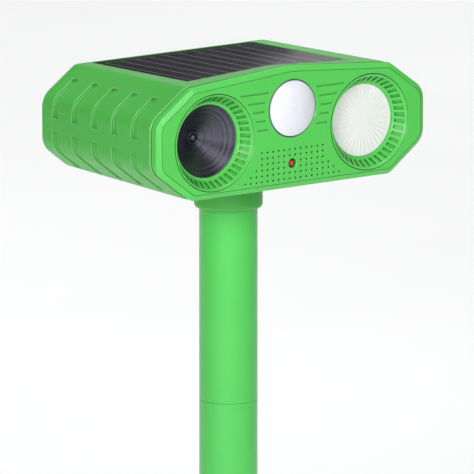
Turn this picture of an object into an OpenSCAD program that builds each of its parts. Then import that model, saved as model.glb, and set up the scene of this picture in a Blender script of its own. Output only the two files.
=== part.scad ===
/* [Head outline] */
// Width of the head across its side corners
head_w = 145; // [138:0.5:180]
// Depth of the head from the front lip to the rear wall
head_d = 88.4; // [86:0.1:110]
// Height of the upper side corners above the head's mid level
side_top = 11; // [8:0.1:13]
// Depth of the lower side corners below the mid level
side_bottom = 10.8; // [8:0.1:13]
// Height of the shoulders, where the top starts
shoulder_h = 24.65; // [24:0.05:30]
// Distance of each shoulder in from the side
shoulder_in = 19; // [16:0.1:22]
// Height of the soft peak at the middle of the front
peak_h = 28.9; // [28:0.1:34]
// Depth of the underside below the mid level
base_drop = 24.65; // [24:0.05:30]
// Distance of each lower corner in from the side
foot_in = 18.6; // [16:0.1:22]
// Radius of the four side corners
side_r = 9; // [4:0.5:11]
// Radius of the shoulders and lower corners
shoulder_r = 6; // [3:0.5:8]
// Radius of the peak
peak_r = 60; // [20:5:80]

/* [Taper towards the rear] */
// How much each side draws in at the rear
side_draft = 3.1; // [1:0.1:4]
// How much the top drops at the rear
top_draft = 2; // [1:0.05:3]
// How much the underside rises at the rear
base_draft = 2.45; // [1:0.05:3]
// How much the chamfers' corners shift at the rear
corner_shift = 1; // [0:0.1:2]
// How much the shoulders and lower corners shift sideways at the rear
shoulder_shift = 1.9; // [0:0.1:3]

/* [Walls] */
// Wall of the housing and the front cover's rim
wall = 2.6; // [2.2:0.1:3]
// Thickness of the front plate
plate_t = 2.4; // [2:0.1:3]
// Depth of the front cover's rim, where the housing starts
rim_y = 4.3; // [4:0.1:6]
// How far the front plate stands ahead of the lip
face_rise = 1.3; // [0.8:0.1:2]
// Width of the bright bevel round the front
bevel_w = 2.1; // [1.5:0.1:2.1]
// Width of the fine line inside the bevel
line_w = 0.5; // [0.3:0.1:0.5]
// Depth of the channel between lip and housing
channel_d = 0.7; // [0.3:0.1:0.9]

/* [Rings] */
// Distance of each ring's centre in from the side
ring_from_side = 30.5; // [29:0.5:32]
// Height of the ring centres
ring_z = -0.4; // [-1:0.1:0.4]
// Outer radius of a ring insert
ring_r = 21; // [20:0.1:21.4]
// Width of a ring, from its opening to its edge
ring_width = 4.95; // [4.5:0.05:7]
// Depth of the cone from the front face to its inner rim
ring_depth = 5.6; // [4:0.1:6]
// Number of ribs round a ring
rib_count = 40; // [24:1:48]
// Width of the pocket between two ribs
pocket_w = 1.75; // [1:0.05:2]
// Depth of the pockets
pocket_d = 1; // [0.5:0.1:1.2]

/* [Motion sensor] */
// Height of the motion sensor's centre
pir_z = 10.2; // [9:0.1:11]
// Radius of the hole for the sensor's dome
pir_hole_r = 12.7; // [10:0.1:13]
// How far the dome stands ahead of the front face
pir_rise = 3.5; // [2:0.1:5]
// Wall of the dome
pir_wall = 0.8; // [0.6:0.1:1.2]
// Height of the indicator lamp
led_z = -13.9; // [-15:0.1:-13]
// Radius of the indicator's hole
led_hole_r = 2.1; // [1.7:0.1:2.4]

/* [Sound holes and lines] */
// Radius of a sound hole
hole_r = 0.5; // [0.3:0.05:0.8]
// Spacing of the sound holes across
hole_pitch_x = 3; // [2.4:0.1:3.1]
// Spacing of the sound holes up and down
hole_pitch_z = 2.54; // [2.2:0.02:2.6]
// Height of the top row of sound holes
hole_top_z = -7.7; // [-8:0.1:-7]
// Spacing of the decorative lines
bar_pitch = 4.03; // [3.5:0.01:4.1]
// Height of the lowest line
bar_low_z = 2.2; // [1:0.1:3]
// Width of a line
bar_w = 0.8; // [0.5:0.1:1.2]
// Depth of a line
bar_d = 0.6; // [0.3:0.1:1]

/* [Solar panel] */
// Width of the solar panel
panel_w = 88; // [80:0.5:90]
// Depth of the solar panel
panel_d = 71.4; // [60:0.1:71.4]
// Depth of the peaked zone ahead of the panel
gable_d = 15.3; // [14:0.1:15.3]
// Height of the peaked zone's rear edge
gable_rear_h = 26.8; // [26:0.1:28]
// Number of solar cell strips
cell_count = 11; // [8:1:14]
// Gap between two strips
cell_gap = 0.6; // [0.3:0.1:1.5]

/* [Side grooves] */
// Number of grooves in each side
groove_count = 5; // [3:1:5]
// Distance from the front lip to the first groove's rear edge
groove_first = 18.8; // [17:0.1:22]
// Spacing of the grooves
groove_pitch = 15.15; // [12:0.05:15.5]
// Width of a groove
groove_w = 4.8; // [3:0.1:6]
// Depth of a groove
groove_d = 1.2; // [0.6:0.1:1.4]

/* [Stake] */
// Distance from the front lip back to the stake's axis
stake_from_front = 45; // [43:0.5:47]
// Height of the head's mid level above the ground
head_height = 155; // [130:1:200]
// Radius of the stake tube
tube_r = 12.8; // [11:0.1:13.5]
// Wall of the stake tube
tube_wall = 1.6; // [1.2:0.1:2]
// Wall of the head's collar round the tube
collar_wall = 2.25; // [2.1:0.05:3.2]
// How far the collar's lower edge is below the mid level
collar_drop = 40.2; // [34:0.1:44]
// How far the socket's ceiling is below the mid level
socket_top = 14.4; // [13.5:0.1:16]
// Height above the ground of the seam between tube and spike
seam_h = 29.3; // [15:0.1:50]
// Length of the spike below the ground
spike_len = 130; // [90:1:180]
// Thickness of the spike's fins
fin_t = 2.8; // [2:0.1:4]

/* [Rear controls] */
// Distance of each dial from the middle
dial_x = 42; // [38:0.5:44]
// Radius of a dial
dial_r = 10; // [8:0.1:10.5]
// Height of the power button
button_z = 8; // [7.5:0.1:9]
// Radius of the power button
button_r = 5; // [4:0.1:5.2]
// Travel of the power button
button_travel = 1.2; // [0.6:0.1:1.2]
// Width of the charging socket's cover
flap_w = 19; // [16:0.5:21]
// Height of the charging socket's cover
flap_h = 10; // [9:0.5:10]
// Height of the charging socket's middle
usb_z = -3.5; // [-4:0.1:-3]

/* [Inside] */
// Radius of a battery cell
cell_r = 7.1; // [5.1:0.1:7.1]
// Length of a battery cell
cell_len = 50; // [43:0.5:50]
// Thickness of the circuit boards
board_t = 1.6; // [1:0.1:1.6]
// Distance from the lip back to the sensor board
sensor_board_y = 15; // [14:0.1:16]
// Distance from the rear wall's outside to the control board
control_board_in = 11.4; // [11.4:0.1:12]

/* [Hidden] */
$fn = 96;

// Colours
GREEN = [0.38, 0.82, 0.38];
BODY_GREEN = [0.35, 0.74, 0.34];
SEAL_GREY = [0.2, 0.2, 0.2];
BLACK = [0.06, 0.06, 0.07];
WHITE = [0.93, 0.93, 0.95];
SILVER = [0.75, 0.76, 0.78];
BOARD_GREEN = [0.07, 0.33, 0.18];
BRASS = [0.8, 0.65, 0.3];

// Small overlap that makes a cut run past a face
cut = 1;
// Thickness of a slice that a hull spans
slice_t = 0.01;
corner_steps = 6;
half_w = head_w / 2;
ring_x = half_w - ring_from_side;
collar_r = tube_r + collar_wall;
ring_bore_r = ring_r - ring_width;

// Front plate
face_y = -face_rise;
plate_back = face_y + plate_t;
lip_t = 0.4;

// Play between pieces that fit together
fit_gap = 0.1;
run_gap = 0.06;
ring_gap = 0.3;
panel_gap = 0.15;

// Ring insert
ledge_y = face_y + 1.6;
ring_back = ring_depth + face_y;
seat_y = ring_back + 0.8;
sleeve_r = ring_r - 0.55;
sleeve_y = seat_y + 4.4;
flange_r = ring_bore_r + 2.15;
flange_t = 1.2;
cone_in_r = ring_bore_r + 0.85;
cone_out_r = ring_r - 0.7;
lip_rise = 0.15;

// Speaker behind the left ring
speaker_cone_d = 10.1;
apex_y = seat_y + speaker_cone_d;
apex_r = 1.9;
disc_y = apex_y + 1;
disc_t = 0.5;
disc_r = ring_bore_r - 3.55;
pad_t = 2;
basket_wall = 1.2;
basket_back = disc_y + disc_t + pad_t + basket_wall;

// Lamp behind the right ring
bowl_front = seat_y + flange_t;
bowl_d = 8.3;
bowl_mouth_r = ring_bore_r - 0.65;
bowl_floor_r = 6.5;
lamp_board_y = bowl_front + bowl_d + 1.3;
lamp_board_r = ring_bore_r - 5.05;
emitter_ring_r = 4.2;
emitter_w = 2.8;
emitter_t = 0.8;

// Motion sensor
dome_r = pir_hole_r - 0.55;
pir_flange_r = dome_r + 2.05;
pir_flange_t = 1;
can_r = 4.6;
can_h = 4.2;
shroud_len = 6;

// Sound holes: number of columns in each row
hole_columns = [12, 12, 12, 14, 16, 18];

// Housing screws, as places in the X-Z plane
screw_points = [[22.5, 14.5], [-22.5, 14.5], [20.5, -11.6], [-20.5, -11.6]];
well_r = 4;
well_bore_r = 3.1;
well_y = 24;
well_floor = 2.4;
boss_r = 2.9;
screw_r = 1.2;
screw_len = 12;

// Boards and their screws
standoff_points = [[14.5, -3.5], [-14.5, -3.5]];
control_points = [[30, 1], [-30, 1]];
sensor_board_back = sensor_board_y + board_t;
control_board_y = head_d - control_board_in;
control_board_back = control_board_y + board_t;
small_screw_r = 0.85;
small_head_r = 1.9;
small_head_t = 1.3;
pilot_gap = 0.05;

// Panel tray, measured in the tilted frame of the top
top_tilt = atan(top_draft / (head_d - rim_y));
cover_sink = 0.25;
cover_t = 1;
cells_t = 0.3;
backing_t = 1.65;
tray_d = cover_sink + cover_t + cells_t + backing_t;
tray_wall = 1.6;
tray_floor = 1.8;
lead_hole_r = 2;
panel_lead_x = -12;
panel_lead_y = 66;

// Rear controls
dial_pad_y = head_d - 5.6;
dial_pad_r = dial_r + 3.4;
dial_recess_d = 3.4;
dial_t = 3.1;
dial_gap = 0.4;
shaft_r = 3;
switch_d = 4;
switch_w = 13;
flap_t = 1.2;
flap_gap = 0.3;
flap_recess_d = 1.4;
port_w = 12.4;
port_h = 7;
flap_top = usb_z + flap_h / 2;
flange_in_y = head_d - wall - 1.2;
tact_h = 4.3;

// Battery
cells_x = 39.9;
cell_pitch = 2 * cell_r + 0.4;
holder_base_z = -19.4;
holder_t = 1.6;
holder_y = 22.6;
holder_wall = 1.3;
holder_len = cell_len + 2 * holder_wall + 1.4;
cell_z = holder_base_z + holder_t + cell_r + 0.1;
holder_half = cell_pitch / 2 + cell_r + 0.4;
holder_screw_ys = [35, 65];

// Stake
tube_in_r = tube_r - tube_wall;
spigot_r = tube_in_r - fit_gap;
spigot_len = 20;
spike_head_low = -8;
seat_step = 0.3;
seat_lead = 0.1;

// Inward normal of the edge from p to q of a counter-clockwise outline
function unit(v) = v / norm(v);
function edge_in(p, q) = let (u = unit(q - p)) [-u[1], u[0]];

// Outline moved inwards by d
function inset(pts, d) = let (n = len(pts)) [for (i = [0:n - 1])
    let (u = edge_in(pts[(i + n - 1) % n], pts[i]), v = edge_in(pts[i], pts[(i + 1) % n]))
    pts[i] + d * (u + v) / (1 + u * v)];

// Arc of radius r in the corner at b
function corner_arc(a, b, c, r) =
    let (u = unit(a - b), v = unit(c - b), half = acos(u * v) / 2)
    let (centre = b + unit(u + v) * r / sin(half), first = b + u * r / tan(half) - centre)
    let (start = atan2(first[1], first[0]), sweep = 180 - 2 * half)
    [for (k = [0:corner_steps]) let (a = start + sweep * k / corner_steps)
        centre + r * [cos(a), sin(a)]];

// Outline with each corner rounded by its own radius
function rounded(pts, radii) = let (n = len(pts)) [for (i = [0:n - 1])
    each corner_arc(pts[(i + n - 1) % n], pts[i], pts[(i + 1) % n], radii[i])];
function rounded_inset(pts, radii, d) =
    rounded(inset(pts, d), [for (r = radii) max(r - d, 0.6)]);

// Right half of the head's outline: 0 at the rim, 1 at the rear wall
front_half = [[half_w - foot_in, -base_drop], [half_w, -side_bottom],
    [half_w, side_top], [half_w - shoulder_in, shoulder_h]];
rear_half = [front_half[0] + [shoulder_shift, base_draft],
    front_half[1] - [side_draft, corner_shift], front_half[2] - [side_draft, corner_shift],
    front_half[3] - [shoulder_shift, top_draft]];
half_radii = [shoulder_r, side_r, side_r, shoulder_r];
function half_at(t) = [for (i = [0:3]) front_half[i] * (1 - t) + rear_half[i] * t];
function flipped(pts) = [for (i = [len(pts) - 1:-1:0]) [-pts[i][0], pts[i][1]]];
function reversed(list) = [for (i = [len(list) - 1:-1:0]) list[i]];
function depth_share(y) = (y - rim_y) / (head_d - rim_y);

// Flat-topped outline of the housing at depth y, and the peaked one of the front
function body_outline(y, d) = let (half = half_at(depth_share(y)))
    rounded_inset(concat(half, flipped(half)), concat(half_radii, reversed(half_radii)), d);
function peaked_outline(peak, d) =
    rounded_inset(concat(front_half, [[0, peak]], flipped(front_half)),
        concat(half_radii, [peak_r], reversed(half_radii)), d);

// Height of the top plane at depth y, and of the ridge over it
function top_z(y) = shoulder_h - top_draft * depth_share(y);
function ridge_z(y) = peak_h - (peak_h - gable_rear_h) * y / gable_d;

// A shape in the X-Z plane run from depth a to depth b
module prism(a, b) {
    translate([0, b, 0]) rotate([90, 0, 0]) linear_extrude(height = b - a) children();
}

// A round bar along Y from depth a to depth b
module rod(r, x, z, a, b) {
    translate([x, a, z]) rotate([-90, 0, 0]) cylinder(r = r, h = b - a);
}

// A turned shape about an axis along Y, from [radius, depth] points
module turned(x, z, profile) {
    translate([x, 0, z]) rotate([-90, 0, 0]) rotate_extrude() polygon(profile);
}

// A box centred on [x, z] from depth a to depth b
module block(w, h, x, z, a, b) {
    translate([x - w / 2, a, z - h / 2]) cube([w, b - a, h]);
}

// Head frame: X across, Y back from the lip, Z up from the mid level
module in_head() {
    translate([0, -stake_from_front, head_height]) children();
}

// Frame of the head's tilted top plane, with Y back from the lip
module on_top() {
    translate([0, rim_y, shoulder_h]) rotate([-top_tilt, 0, 0]) translate([0, -rim_y, 0])
        children();
}

// A round lead in a plane whose normal is side: a cubic curve from a to b
lead_steps = 14;
lead_sides = 8;
function lead_point(a, ha, hb, b, t) =
    a * pow(1 - t, 3) + 3 * ha * t * pow(1 - t, 2) + 3 * hb * t * t * (1 - t) + b * pow(t, 3);
function lead_way(a, ha, hb, b, t) =
    unit((ha - a) * pow(1 - t, 2) + 2 * (hb - ha) * t * (1 - t) + (b - hb) * t * t);
module lead(a, ha, hb, b, r, side) {
    rings = [for (i = [0:lead_steps], k = [0:lead_sides - 1])
        let (t = i / lead_steps, turn = 360 * k / lead_sides)
        lead_point(a, ha, hb, b, t) + r * (cos(turn) * side
            + sin(turn) * cross(lead_way(a, ha, hb, b, t), side))];
    walls = [for (i = [0:lead_steps - 1], k = [0:lead_sides - 1])
        let (next = (k + 1) % lead_sides, low = i * lead_sides, high = low + lead_sides)
        each [[low + k, high + k, high + next], [low + k, high + next, low + next]]];
    start = [for (k = [0:lead_sides - 1]) k];
    end = [for (k = [lead_sides - 1:-1:0]) lead_steps * lead_sides + k];
    polyhedron(points = rings, faces = concat(walls, [start, end]));
}

// ---- Stake ----

module ground_spike() {
    color(BODY_GREEN) {
        translate([0, 0, spike_head_low]) cylinder(r = tube_r, h = seam_h - spike_head_low);
        translate([0, 0, seam_h]) cylinder(r = spigot_r, h = spigot_len);
        for (turn = [0, 90]) rotate([90, 0, turn])
            translate([0, 0, -fin_t / 2]) linear_extrude(height = fin_t) polygon([
                [-tube_r + 0.8, spike_head_low + cut], [-tube_r + 0.8, spike_head_low - 6],
                [-fin_t / 2, -spike_len + 4], [0, -spike_len], [fin_t / 2, -spike_len + 4],
                [tube_r - 0.8, spike_head_low - 6], [tube_r - 0.8, spike_head_low + cut]]);
    }
}

// The tube's top is stepped in where it sits in the collar, and the head rests on the step
module stake_tube() {
    top = head_height - socket_top - pilot_gap;
    seat_low = head_height - collar_drop - seat_lead;
    color(GREEN) difference() {
        union() {
            translate([0, 0, seam_h]) cylinder(r = tube_r, h = seat_low - seam_h);
            translate([0, 0, seam_h]) cylinder(r = tube_r - seat_step, h = top - seam_h);
        }
        translate([0, 0, seam_h - cut]) cylinder(r = tube_in_r, h = top - seam_h + 2 * cut);
    }
}

// ---- Housing ----

module body_hull(d, y0, y1) {
    hull() {
        prism(y0, y0 + slice_t) polygon(body_outline(y0, d));
        prism(y1 - slice_t, y1) polygon(body_outline(y1, d));
    }
}

// Outline of the peaked zone's roof: it comes up through the top plane at its corners
function roof_outline(y, half, ridge, d) = let (low = top_z(y) - d - 0.15)
    [[half, low - 5], [half, low], each corner_arc([half, low], [0, ridge - d], [-half, low], peak_r),
        [-half, low], [-half, low - 5]];

// The peaked zone ahead of the panel, or its hollow when d is the wall
module gable_hull(d, front_half_w, rear_half_w, y0, y1) {
    hull() {
        prism(y0, y0 + slice_t) polygon(roof_outline(y0, front_half_w, ridge_z(rim_y), d));
        prism(y1 - slice_t, y1) polygon(roof_outline(y1, rear_half_w, ridge_z(y1), d));
    }
}

module panel_tray_block() {
    on_top() translate([-panel_w / 2 - panel_gap - tray_wall, gable_d - tray_wall, -tray_d - tray_floor])
        cube([panel_w + 2 * (panel_gap + tray_wall),
            panel_d + 2 * (panel_gap + tray_wall) - 0.3, tray_d + tray_floor - 0.5]);
}

module panel_tray_recess() {
    on_top() translate([-panel_w / 2 - panel_gap, gable_d, -tray_d])
        cube([panel_w + 2 * panel_gap, panel_d + 2 * panel_gap, tray_d + 6]);
}

// Grooves cut where the slabs stand outside the core
module side_grooves() {
    difference() {
        for (k = [0:groove_count - 1]) {
            y = groove_first + k * groove_pitch;
            upper_x = half_w - 11.2 - 0.036 * y;
            lower_x = half_w - 14.9 - 0.02 * y;
            for (side = [-1, 1]) {
                translate([side > 0 ? upper_x : -half_w - cut, y - groove_w, 1.84])
                    cube([half_w + cut - upper_x, groove_w, shoulder_h]);
                translate([side > 0 ? lower_x : -half_w - cut, y - groove_w, -4 - base_drop])
                    cube([half_w + cut - lower_x, groove_w, base_drop]);
            }
        }
        body_hull(groove_d, rim_y - cut, head_d + cut);
    }
}

module collar_solid() {
    edge = 2;
    profile = concat([[0, -collar_drop]],
        [for (a = [-90:15:0]) [collar_r - edge + edge * cos(a), -collar_drop + edge + edge * sin(a)]],
        [[collar_r, -socket_top + 2], [0, -socket_top + 2]]);
    translate([0, stake_from_front, 0]) rotate_extrude() polygon(profile);
}

module rear_housing() {
    $fn = 56;
    color(BODY_GREEN) in_head() difference() {
        union() {
            difference() {
                union() {
                    body_hull(0, rim_y, head_d);
                    gable_hull(0, half_w - shoulder_in - 1, panel_w / 2 + 2, rim_y, gable_d);
                }
                body_hull(wall, rim_y - cut, head_d - wall);
                gable_hull(wall, half_w - shoulder_in - 5, panel_w / 2 - 4, rim_y - cut, gable_d - wall);
            }
            panel_tray_block();
            collar_solid();
            for (p = screw_points) rod(well_r, p[0], p[1], well_y, head_d - cut);
            for (side = [-1, 1]) rod(dial_pad_r, side * dial_x, 0, dial_pad_y, head_d - cut);
            for (p = control_points) rod(2.6, p[0], p[1], control_board_back, head_d - cut);
            for (y = holder_screw_ys) translate([cells_x, y, -base_drop + 1.6])
                cylinder(r = 2.6, h = holder_base_z + base_drop - 1.6);
        }
        panel_tray_recess();
        translate([panel_lead_x, panel_lead_y, 0]) cylinder(r = lead_hole_r, h = shoulder_h);
        side_grooves();
        translate([0, stake_from_front, -collar_drop - cut])
            cylinder(r = tube_r - seat_step + run_gap, h = collar_drop + cut - socket_top);
        for (p = screw_points) {
            rod(well_bore_r, p[0], p[1], well_y + well_floor, head_d + cut);
            rod(screw_r + 0.4, p[0], p[1], well_y - cut, well_y + well_floor + cut);
        }
        for (side = [-1, 1]) {
            rod(dial_r + dial_gap, side * dial_x, 0, head_d - dial_recess_d, head_d + cut);
            rod(shaft_r + run_gap, side * dial_x, 0, dial_pad_y - cut, head_d);
        }
        for (p = control_points)
            rod(small_screw_r + pilot_gap, p[0], p[1], control_board_back - cut, control_board_back + 5);
        for (y = holder_screw_ys) translate([cells_x, y, holder_base_z - 2.6])
            cylinder(r = small_screw_r + pilot_gap, h = 4);
        rod(button_r + run_gap, 0, button_z, head_d - wall - cut, head_d + cut);
        block(flap_w + 2 * flap_gap, flap_h + 2 * flap_gap, 0, usb_z,
            head_d - flap_recess_d, head_d + cut);
        block(port_w, port_h, 0, usb_z, head_d - wall - cut, head_d);
        gasket_band(gasket_w / 2, rim_y - cut, rim_y + gasket_t);
    }
}

// ---- Front cover ----

gasket_w = 0.8;
gasket_t = 0.8;
gasket_in = 1.3;

// The seal's path between two insets of the rim, wider by play on each side
module gasket_band(play, a, b) {
    prism(a, b) difference() {
        polygon(peaked_outline(ridge_z(rim_y), gasket_in - (play > gasket_w / 2 ? play : 0)));
        polygon(peaked_outline(ridge_z(rim_y), gasket_in + gasket_w));
    }
}

module cover_gasket() {
    color(SEAL_GREY) in_head() gasket_band(0, rim_y, rim_y + gasket_t);
}

// Outline of the cover's rim, moved in by d
module rim_shape(d) {
    polygon(peaked_outline(peak_h, d));
}

module cover_blank() {
    hull() {
        prism(face_y, face_y + slice_t) rim_shape(bevel_w);
        prism(-slice_t, 0) rim_shape(0);
    }
    prism(-slice_t, lip_t) rim_shape(0);
    prism(lip_t - slice_t, rim_y) rim_shape(channel_d);
}

// Decorative line at height z, from the sensor's circle to a ring's circle
module bar_slot(z) {
    inner = sqrt(pow(pir_hole_r + 2.5, 2) - pow(z - pir_z, 2));
    outer = ring_x - sqrt(pow(ring_r + 2.2, 2) - pow(z - ring_z, 2));
    for (side = [-1, 1])
        block(outer - inner, bar_w, side * (inner + outer) / 2, z, face_y - cut, face_y + bar_d);
}

module sound_holes() {
    for (row = [0:len(hole_columns) - 1], column = [0:hole_columns[row] - 1]) {
        x = (column - (hole_columns[row] - 1) / 2) * hole_pitch_x;
        z = hole_top_z - row * hole_pitch_z;
        if (norm([x, z - led_z]) > led_hole_r + 1)
            rod(hole_r, x, z, face_y - cut, plate_back + cut);
    }
}

// Thin wall that slips inside the housing's rim, open round the motion sensor
module locating_skirt() {
    play = 0.2;
    skirt_t = 0.8;
    prism(plate_back - slice_t, rim_y + 2.2) difference() {
        polygon(body_outline(rim_y, wall + play));
        polygon(body_outline(rim_y, wall + play + skirt_t));
        translate([-pir_flange_r - 4, 0]) square([2 * pir_flange_r + 8, shoulder_h]);
    }
}

module front_cover() {
    color(GREEN) in_head() difference() {
        union() {
            difference() {
                cover_blank();
                prism(plate_back, rim_y + cut) rim_shape(wall);
            }
            locating_skirt();
            for (p = screw_points) rod(boss_r, p[0], p[1], plate_back - slice_t, well_y);
            for (p = standoff_points) rod(2.4, p[0], p[1], plate_back - slice_t, sensor_board_y);
        }
        prism(face_y - cut, face_y + 0.35) difference() {
            rim_shape(bevel_w);
            rim_shape(bevel_w + line_w);
        }
        for (side = [-1, 1]) {
            rod(ring_r + ring_gap, side * ring_x, ring_z, face_y - cut, ledge_y);
            rod(sleeve_r + fit_gap, side * ring_x, ring_z, face_y - cut, plate_back + 2 * cut);
        }
        rod(pir_hole_r, 0, pir_z, face_y - cut, plate_back + cut);
        rod(led_hole_r, 0, led_z, face_y - cut, plate_back + cut);
        sound_holes();
        for (k = [0:4]) bar_slot(bar_low_z + k * bar_pitch);
        for (p = screw_points) rod(screw_r + pilot_gap, p[0], p[1], well_y - screw_len, well_y + cut);
        for (p = standoff_points)
            rod(small_screw_r + pilot_gap, p[0], p[1], sensor_board_y - 8, sensor_board_y + cut);
    }
}

// ---- Rings ----

module ring_insert(x) {
    run = cone_out_r - cone_in_r;
    rise = ring_back - face_y - 0.3;
    slope = atan2(-rise, run);
    mid = [(cone_out_r + cone_in_r) / 2, (ring_back + face_y + 0.3) / 2];
    pocket_len = 0.74 * norm([run, rise]);
    color(GREEN) in_head() difference() {
        turned(x, ring_z, [[ring_bore_r, ring_back], [cone_in_r, ring_back],
            [cone_out_r, face_y + 0.3], [cone_out_r + 0.25, face_y - lip_rise],
            [ring_r - 0.15, face_y - lip_rise], [ring_r, face_y], [ring_r, ledge_y],
            [sleeve_r, ledge_y], [sleeve_r, sleeve_y], [flange_r + fit_gap, sleeve_y],
            [flange_r + fit_gap, seat_y], [ring_bore_r, seat_y]]);
        for (k = [0:rib_count - 1]) translate([x, 0, ring_z]) rotate([0, 360 * k / rib_count, 0])
            translate([mid[0], mid[1], 0]) rotate([0, 0, slope])
                translate([-pocket_len / 2, -cut, -pocket_w / 2])
                    cube([pocket_len, cut + pocket_d, pocket_w]);
    }
}

module speaker_ring() {
    ring_insert(-ring_x);
}

module lamp_ring() {
    ring_insert(ring_x);
}

// ---- Speaker ----

module speaker_cone() {
    mouth_r = ring_bore_r - 0.15;
    color(BLACK) in_head() turned(-ring_x, ring_z, [[mouth_r, seat_y], [flange_r, seat_y],
        [flange_r, seat_y + flange_t], [mouth_r - 0.7, seat_y + flange_t],
        [apex_r + 0.3, apex_y + 0.5], [apex_r + 0.3, disc_y], [0, disc_y], [0, apex_y],
        [apex_r, apex_y]]);
}

module speaker_dome() {
    color(BLACK) in_head() turned(-ring_x, ring_z, concat([[0, apex_y]],
        [for (a = [0:15:90]) [apex_r * cos(a), apex_y - apex_r * sin(a)]]));
}

module speaker_basket() {
    front = seat_y + flange_t;
    out_r = ring_bore_r + 0.55;
    color(BLACK) in_head() turned(-ring_x, ring_z, [[out_r - basket_wall, front], [flange_r, front],
        [flange_r, front + 2.6], [out_r, front + 2.6], [out_r, basket_back], [0, basket_back],
        [0, basket_back - basket_wall], [out_r - basket_wall, basket_back - basket_wall]]);
}

module piezo_disc() {
    color(BRASS) in_head() rod(disc_r, -ring_x, ring_z, disc_y, disc_y + disc_t);
}

module damper_pad() {
    color(SEAL_GREY) in_head() difference() {
        rod(7, -ring_x, ring_z, disc_y + disc_t, disc_y + disc_t + pad_t);
        rod(3, -ring_x, ring_z, disc_y, basket_back);
    }
}

// ---- Lamp ----

module lamp_lens() {
    face_r = ring_bore_r - 0.15;
    bulge = 0.5;
    ball = (face_r * face_r + bulge * bulge) / (2 * bulge);
    dome = [for (k = [0:8]) let (r = face_r * k / 8)
        [r, ring_back + 0.2 + ball - bulge - sqrt(ball * ball - r * r)]];
    color(WHITE) in_head() turned(ring_x, ring_z, concat(dome, [[face_r, seat_y],
        [flange_r, seat_y], [flange_r, seat_y + flange_t], [0, seat_y + flange_t]]));
}

module lamp_reflector() {
    steps = 8;
    bowl = [for (k = [0:steps]) let (s = k / steps)
        [bowl_mouth_r - (bowl_mouth_r - bowl_floor_r) * pow(s, 1.6), bowl_front + bowl_d * s]];
    back = [for (k = [steps:-1:1]) [bowl[k][0] + 1, min(bowl[k][1] + 0.4, bowl_front + bowl_d)]];
    base_y = lamp_board_y;
    color(SILVER) in_head() turned(ring_x, ring_z, concat(bowl,
        [[bowl_floor_r, base_y], [lamp_board_r, base_y], [lamp_board_r, bowl_front + bowl_d]],
        back, [[bowl_mouth_r + 1, bowl_front + 1], [flange_r, bowl_front + 1],
        [flange_r, bowl_front]]));
}

module lamp_board() {
    color(WHITE) in_head()
        rod(lamp_board_r, ring_x, ring_z, lamp_board_y, lamp_board_y + board_t);
}

module lamp_leds() {
    color([1, 0.95, 0.6]) in_head() {
        block(emitter_w, emitter_w, ring_x, ring_z, lamp_board_y - emitter_t, lamp_board_y);
        for (turn = [0:60:300]) translate([ring_x, 0, ring_z]) rotate([0, turn, 0])
            block(emitter_w, emitter_w, emitter_ring_r, 0, lamp_board_y - emitter_t, lamp_board_y);
    }
}

// ---- Motion sensor and indicator ----

module pir_lens() {
    ball = (dome_r * dome_r + pir_rise * pir_rise) / (2 * pir_rise);
    function cap(r, inner) = let (b = ball - inner)
        face_y - pir_rise + ball - sqrt(b * b - r * r);
    steps = 10;
    out = [for (k = [0:steps]) let (r = dome_r * k / steps) [r, cap(r, 0)]];
    inside_r = dome_r - pir_wall;
    inside = [for (k = [steps:-1:0]) let (r = inside_r * k / steps) [r, cap(r, pir_wall)]];
    color(WHITE) in_head() turned(0, pir_z, concat(out, [[dome_r, plate_back],
        [pir_flange_r, plate_back], [pir_flange_r, plate_back + pir_flange_t],
        [inside_r, plate_back + pir_flange_t]], inside));
}

module pir_retainer() {
    front = plate_back + pir_flange_t;
    color(BLACK) in_head() turned(0, pir_z, [[dome_r, front], [pir_flange_r + 0.4, front],
        [pir_flange_r + 0.4, front + 1.2], [dome_r + 1.2, front + 1.2],
        [dome_r + 1.2, front + shroud_len], [dome_r, front + shroud_len]]);
}

module pir_sensor() {
    front = sensor_board_y - can_h - 0.5;
    color(SILVER) in_head() difference() {
        union() {
            rod(can_r, 0, pir_z, front, sensor_board_y);
            rod(can_r + 0.4, 0, pir_z, sensor_board_y - 0.6, sensor_board_y);
        }
        block(4, 3, 0, pir_z, front - cut, front + 0.4);
    }
}

module pir_window() {
    front = sensor_board_y - can_h - 0.5;
    color(BLACK) in_head() block(4, 3, 0, pir_z, front + 0.1, front + 0.4);
}

module indicator_led() {
    lens_r = 1.5;
    tip_y = face_y + 0.3;
    color([0.85, 0.1, 0.15]) in_head() {
        turned(0, led_z, concat([[0, tip_y + 5.3]],
            [for (a = [90:-15:0]) [lens_r * cos(a), tip_y + lens_r - lens_r * sin(a)]],
            [[lens_r, tip_y + 4.5], [lens_r + 0.3, tip_y + 4.5], [lens_r + 0.3, tip_y + 5.3]]));
        for (side = [-1, 1]) rod(0.25, side * 0.8, led_z, tip_y + 5.2, sensor_board_y);
    }
}

// ---- Sensor board and what is on it ----

module sensor_board() {
    color(BOARD_GREEN) in_head() difference() {
        block(34, 39, 0, -1, sensor_board_y, sensor_board_back);
        for (p = standoff_points)
            rod(small_screw_r + 0.25, p[0], p[1], sensor_board_y - cut, sensor_board_back + cut);
    }
}

module alarm_buzzer() {
    height = 7;
    color(BLACK) in_head() difference() {
        rod(6, 10, -13, sensor_board_y - height, sensor_board_y);
        rod(1, 10, -13, sensor_board_y - height - cut, sensor_board_y - 3);
    }
}

module board_chips() {
    color(BLACK) in_head() {
        block(10, 7, 3, -4.5, sensor_board_back, sensor_board_back + 1.5);
        block(5, 4, 3, -14, sensor_board_back, sensor_board_back + 1.5);
        block(5, 4, -5, -16, sensor_board_back, sensor_board_back + 1.5);
    }
}

module board_capacitors() {
    color(SILVER) in_head() for (z = [4, 12])
        rod(3.15, -6, z, sensor_board_back, sensor_board_back + 8);
}

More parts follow.
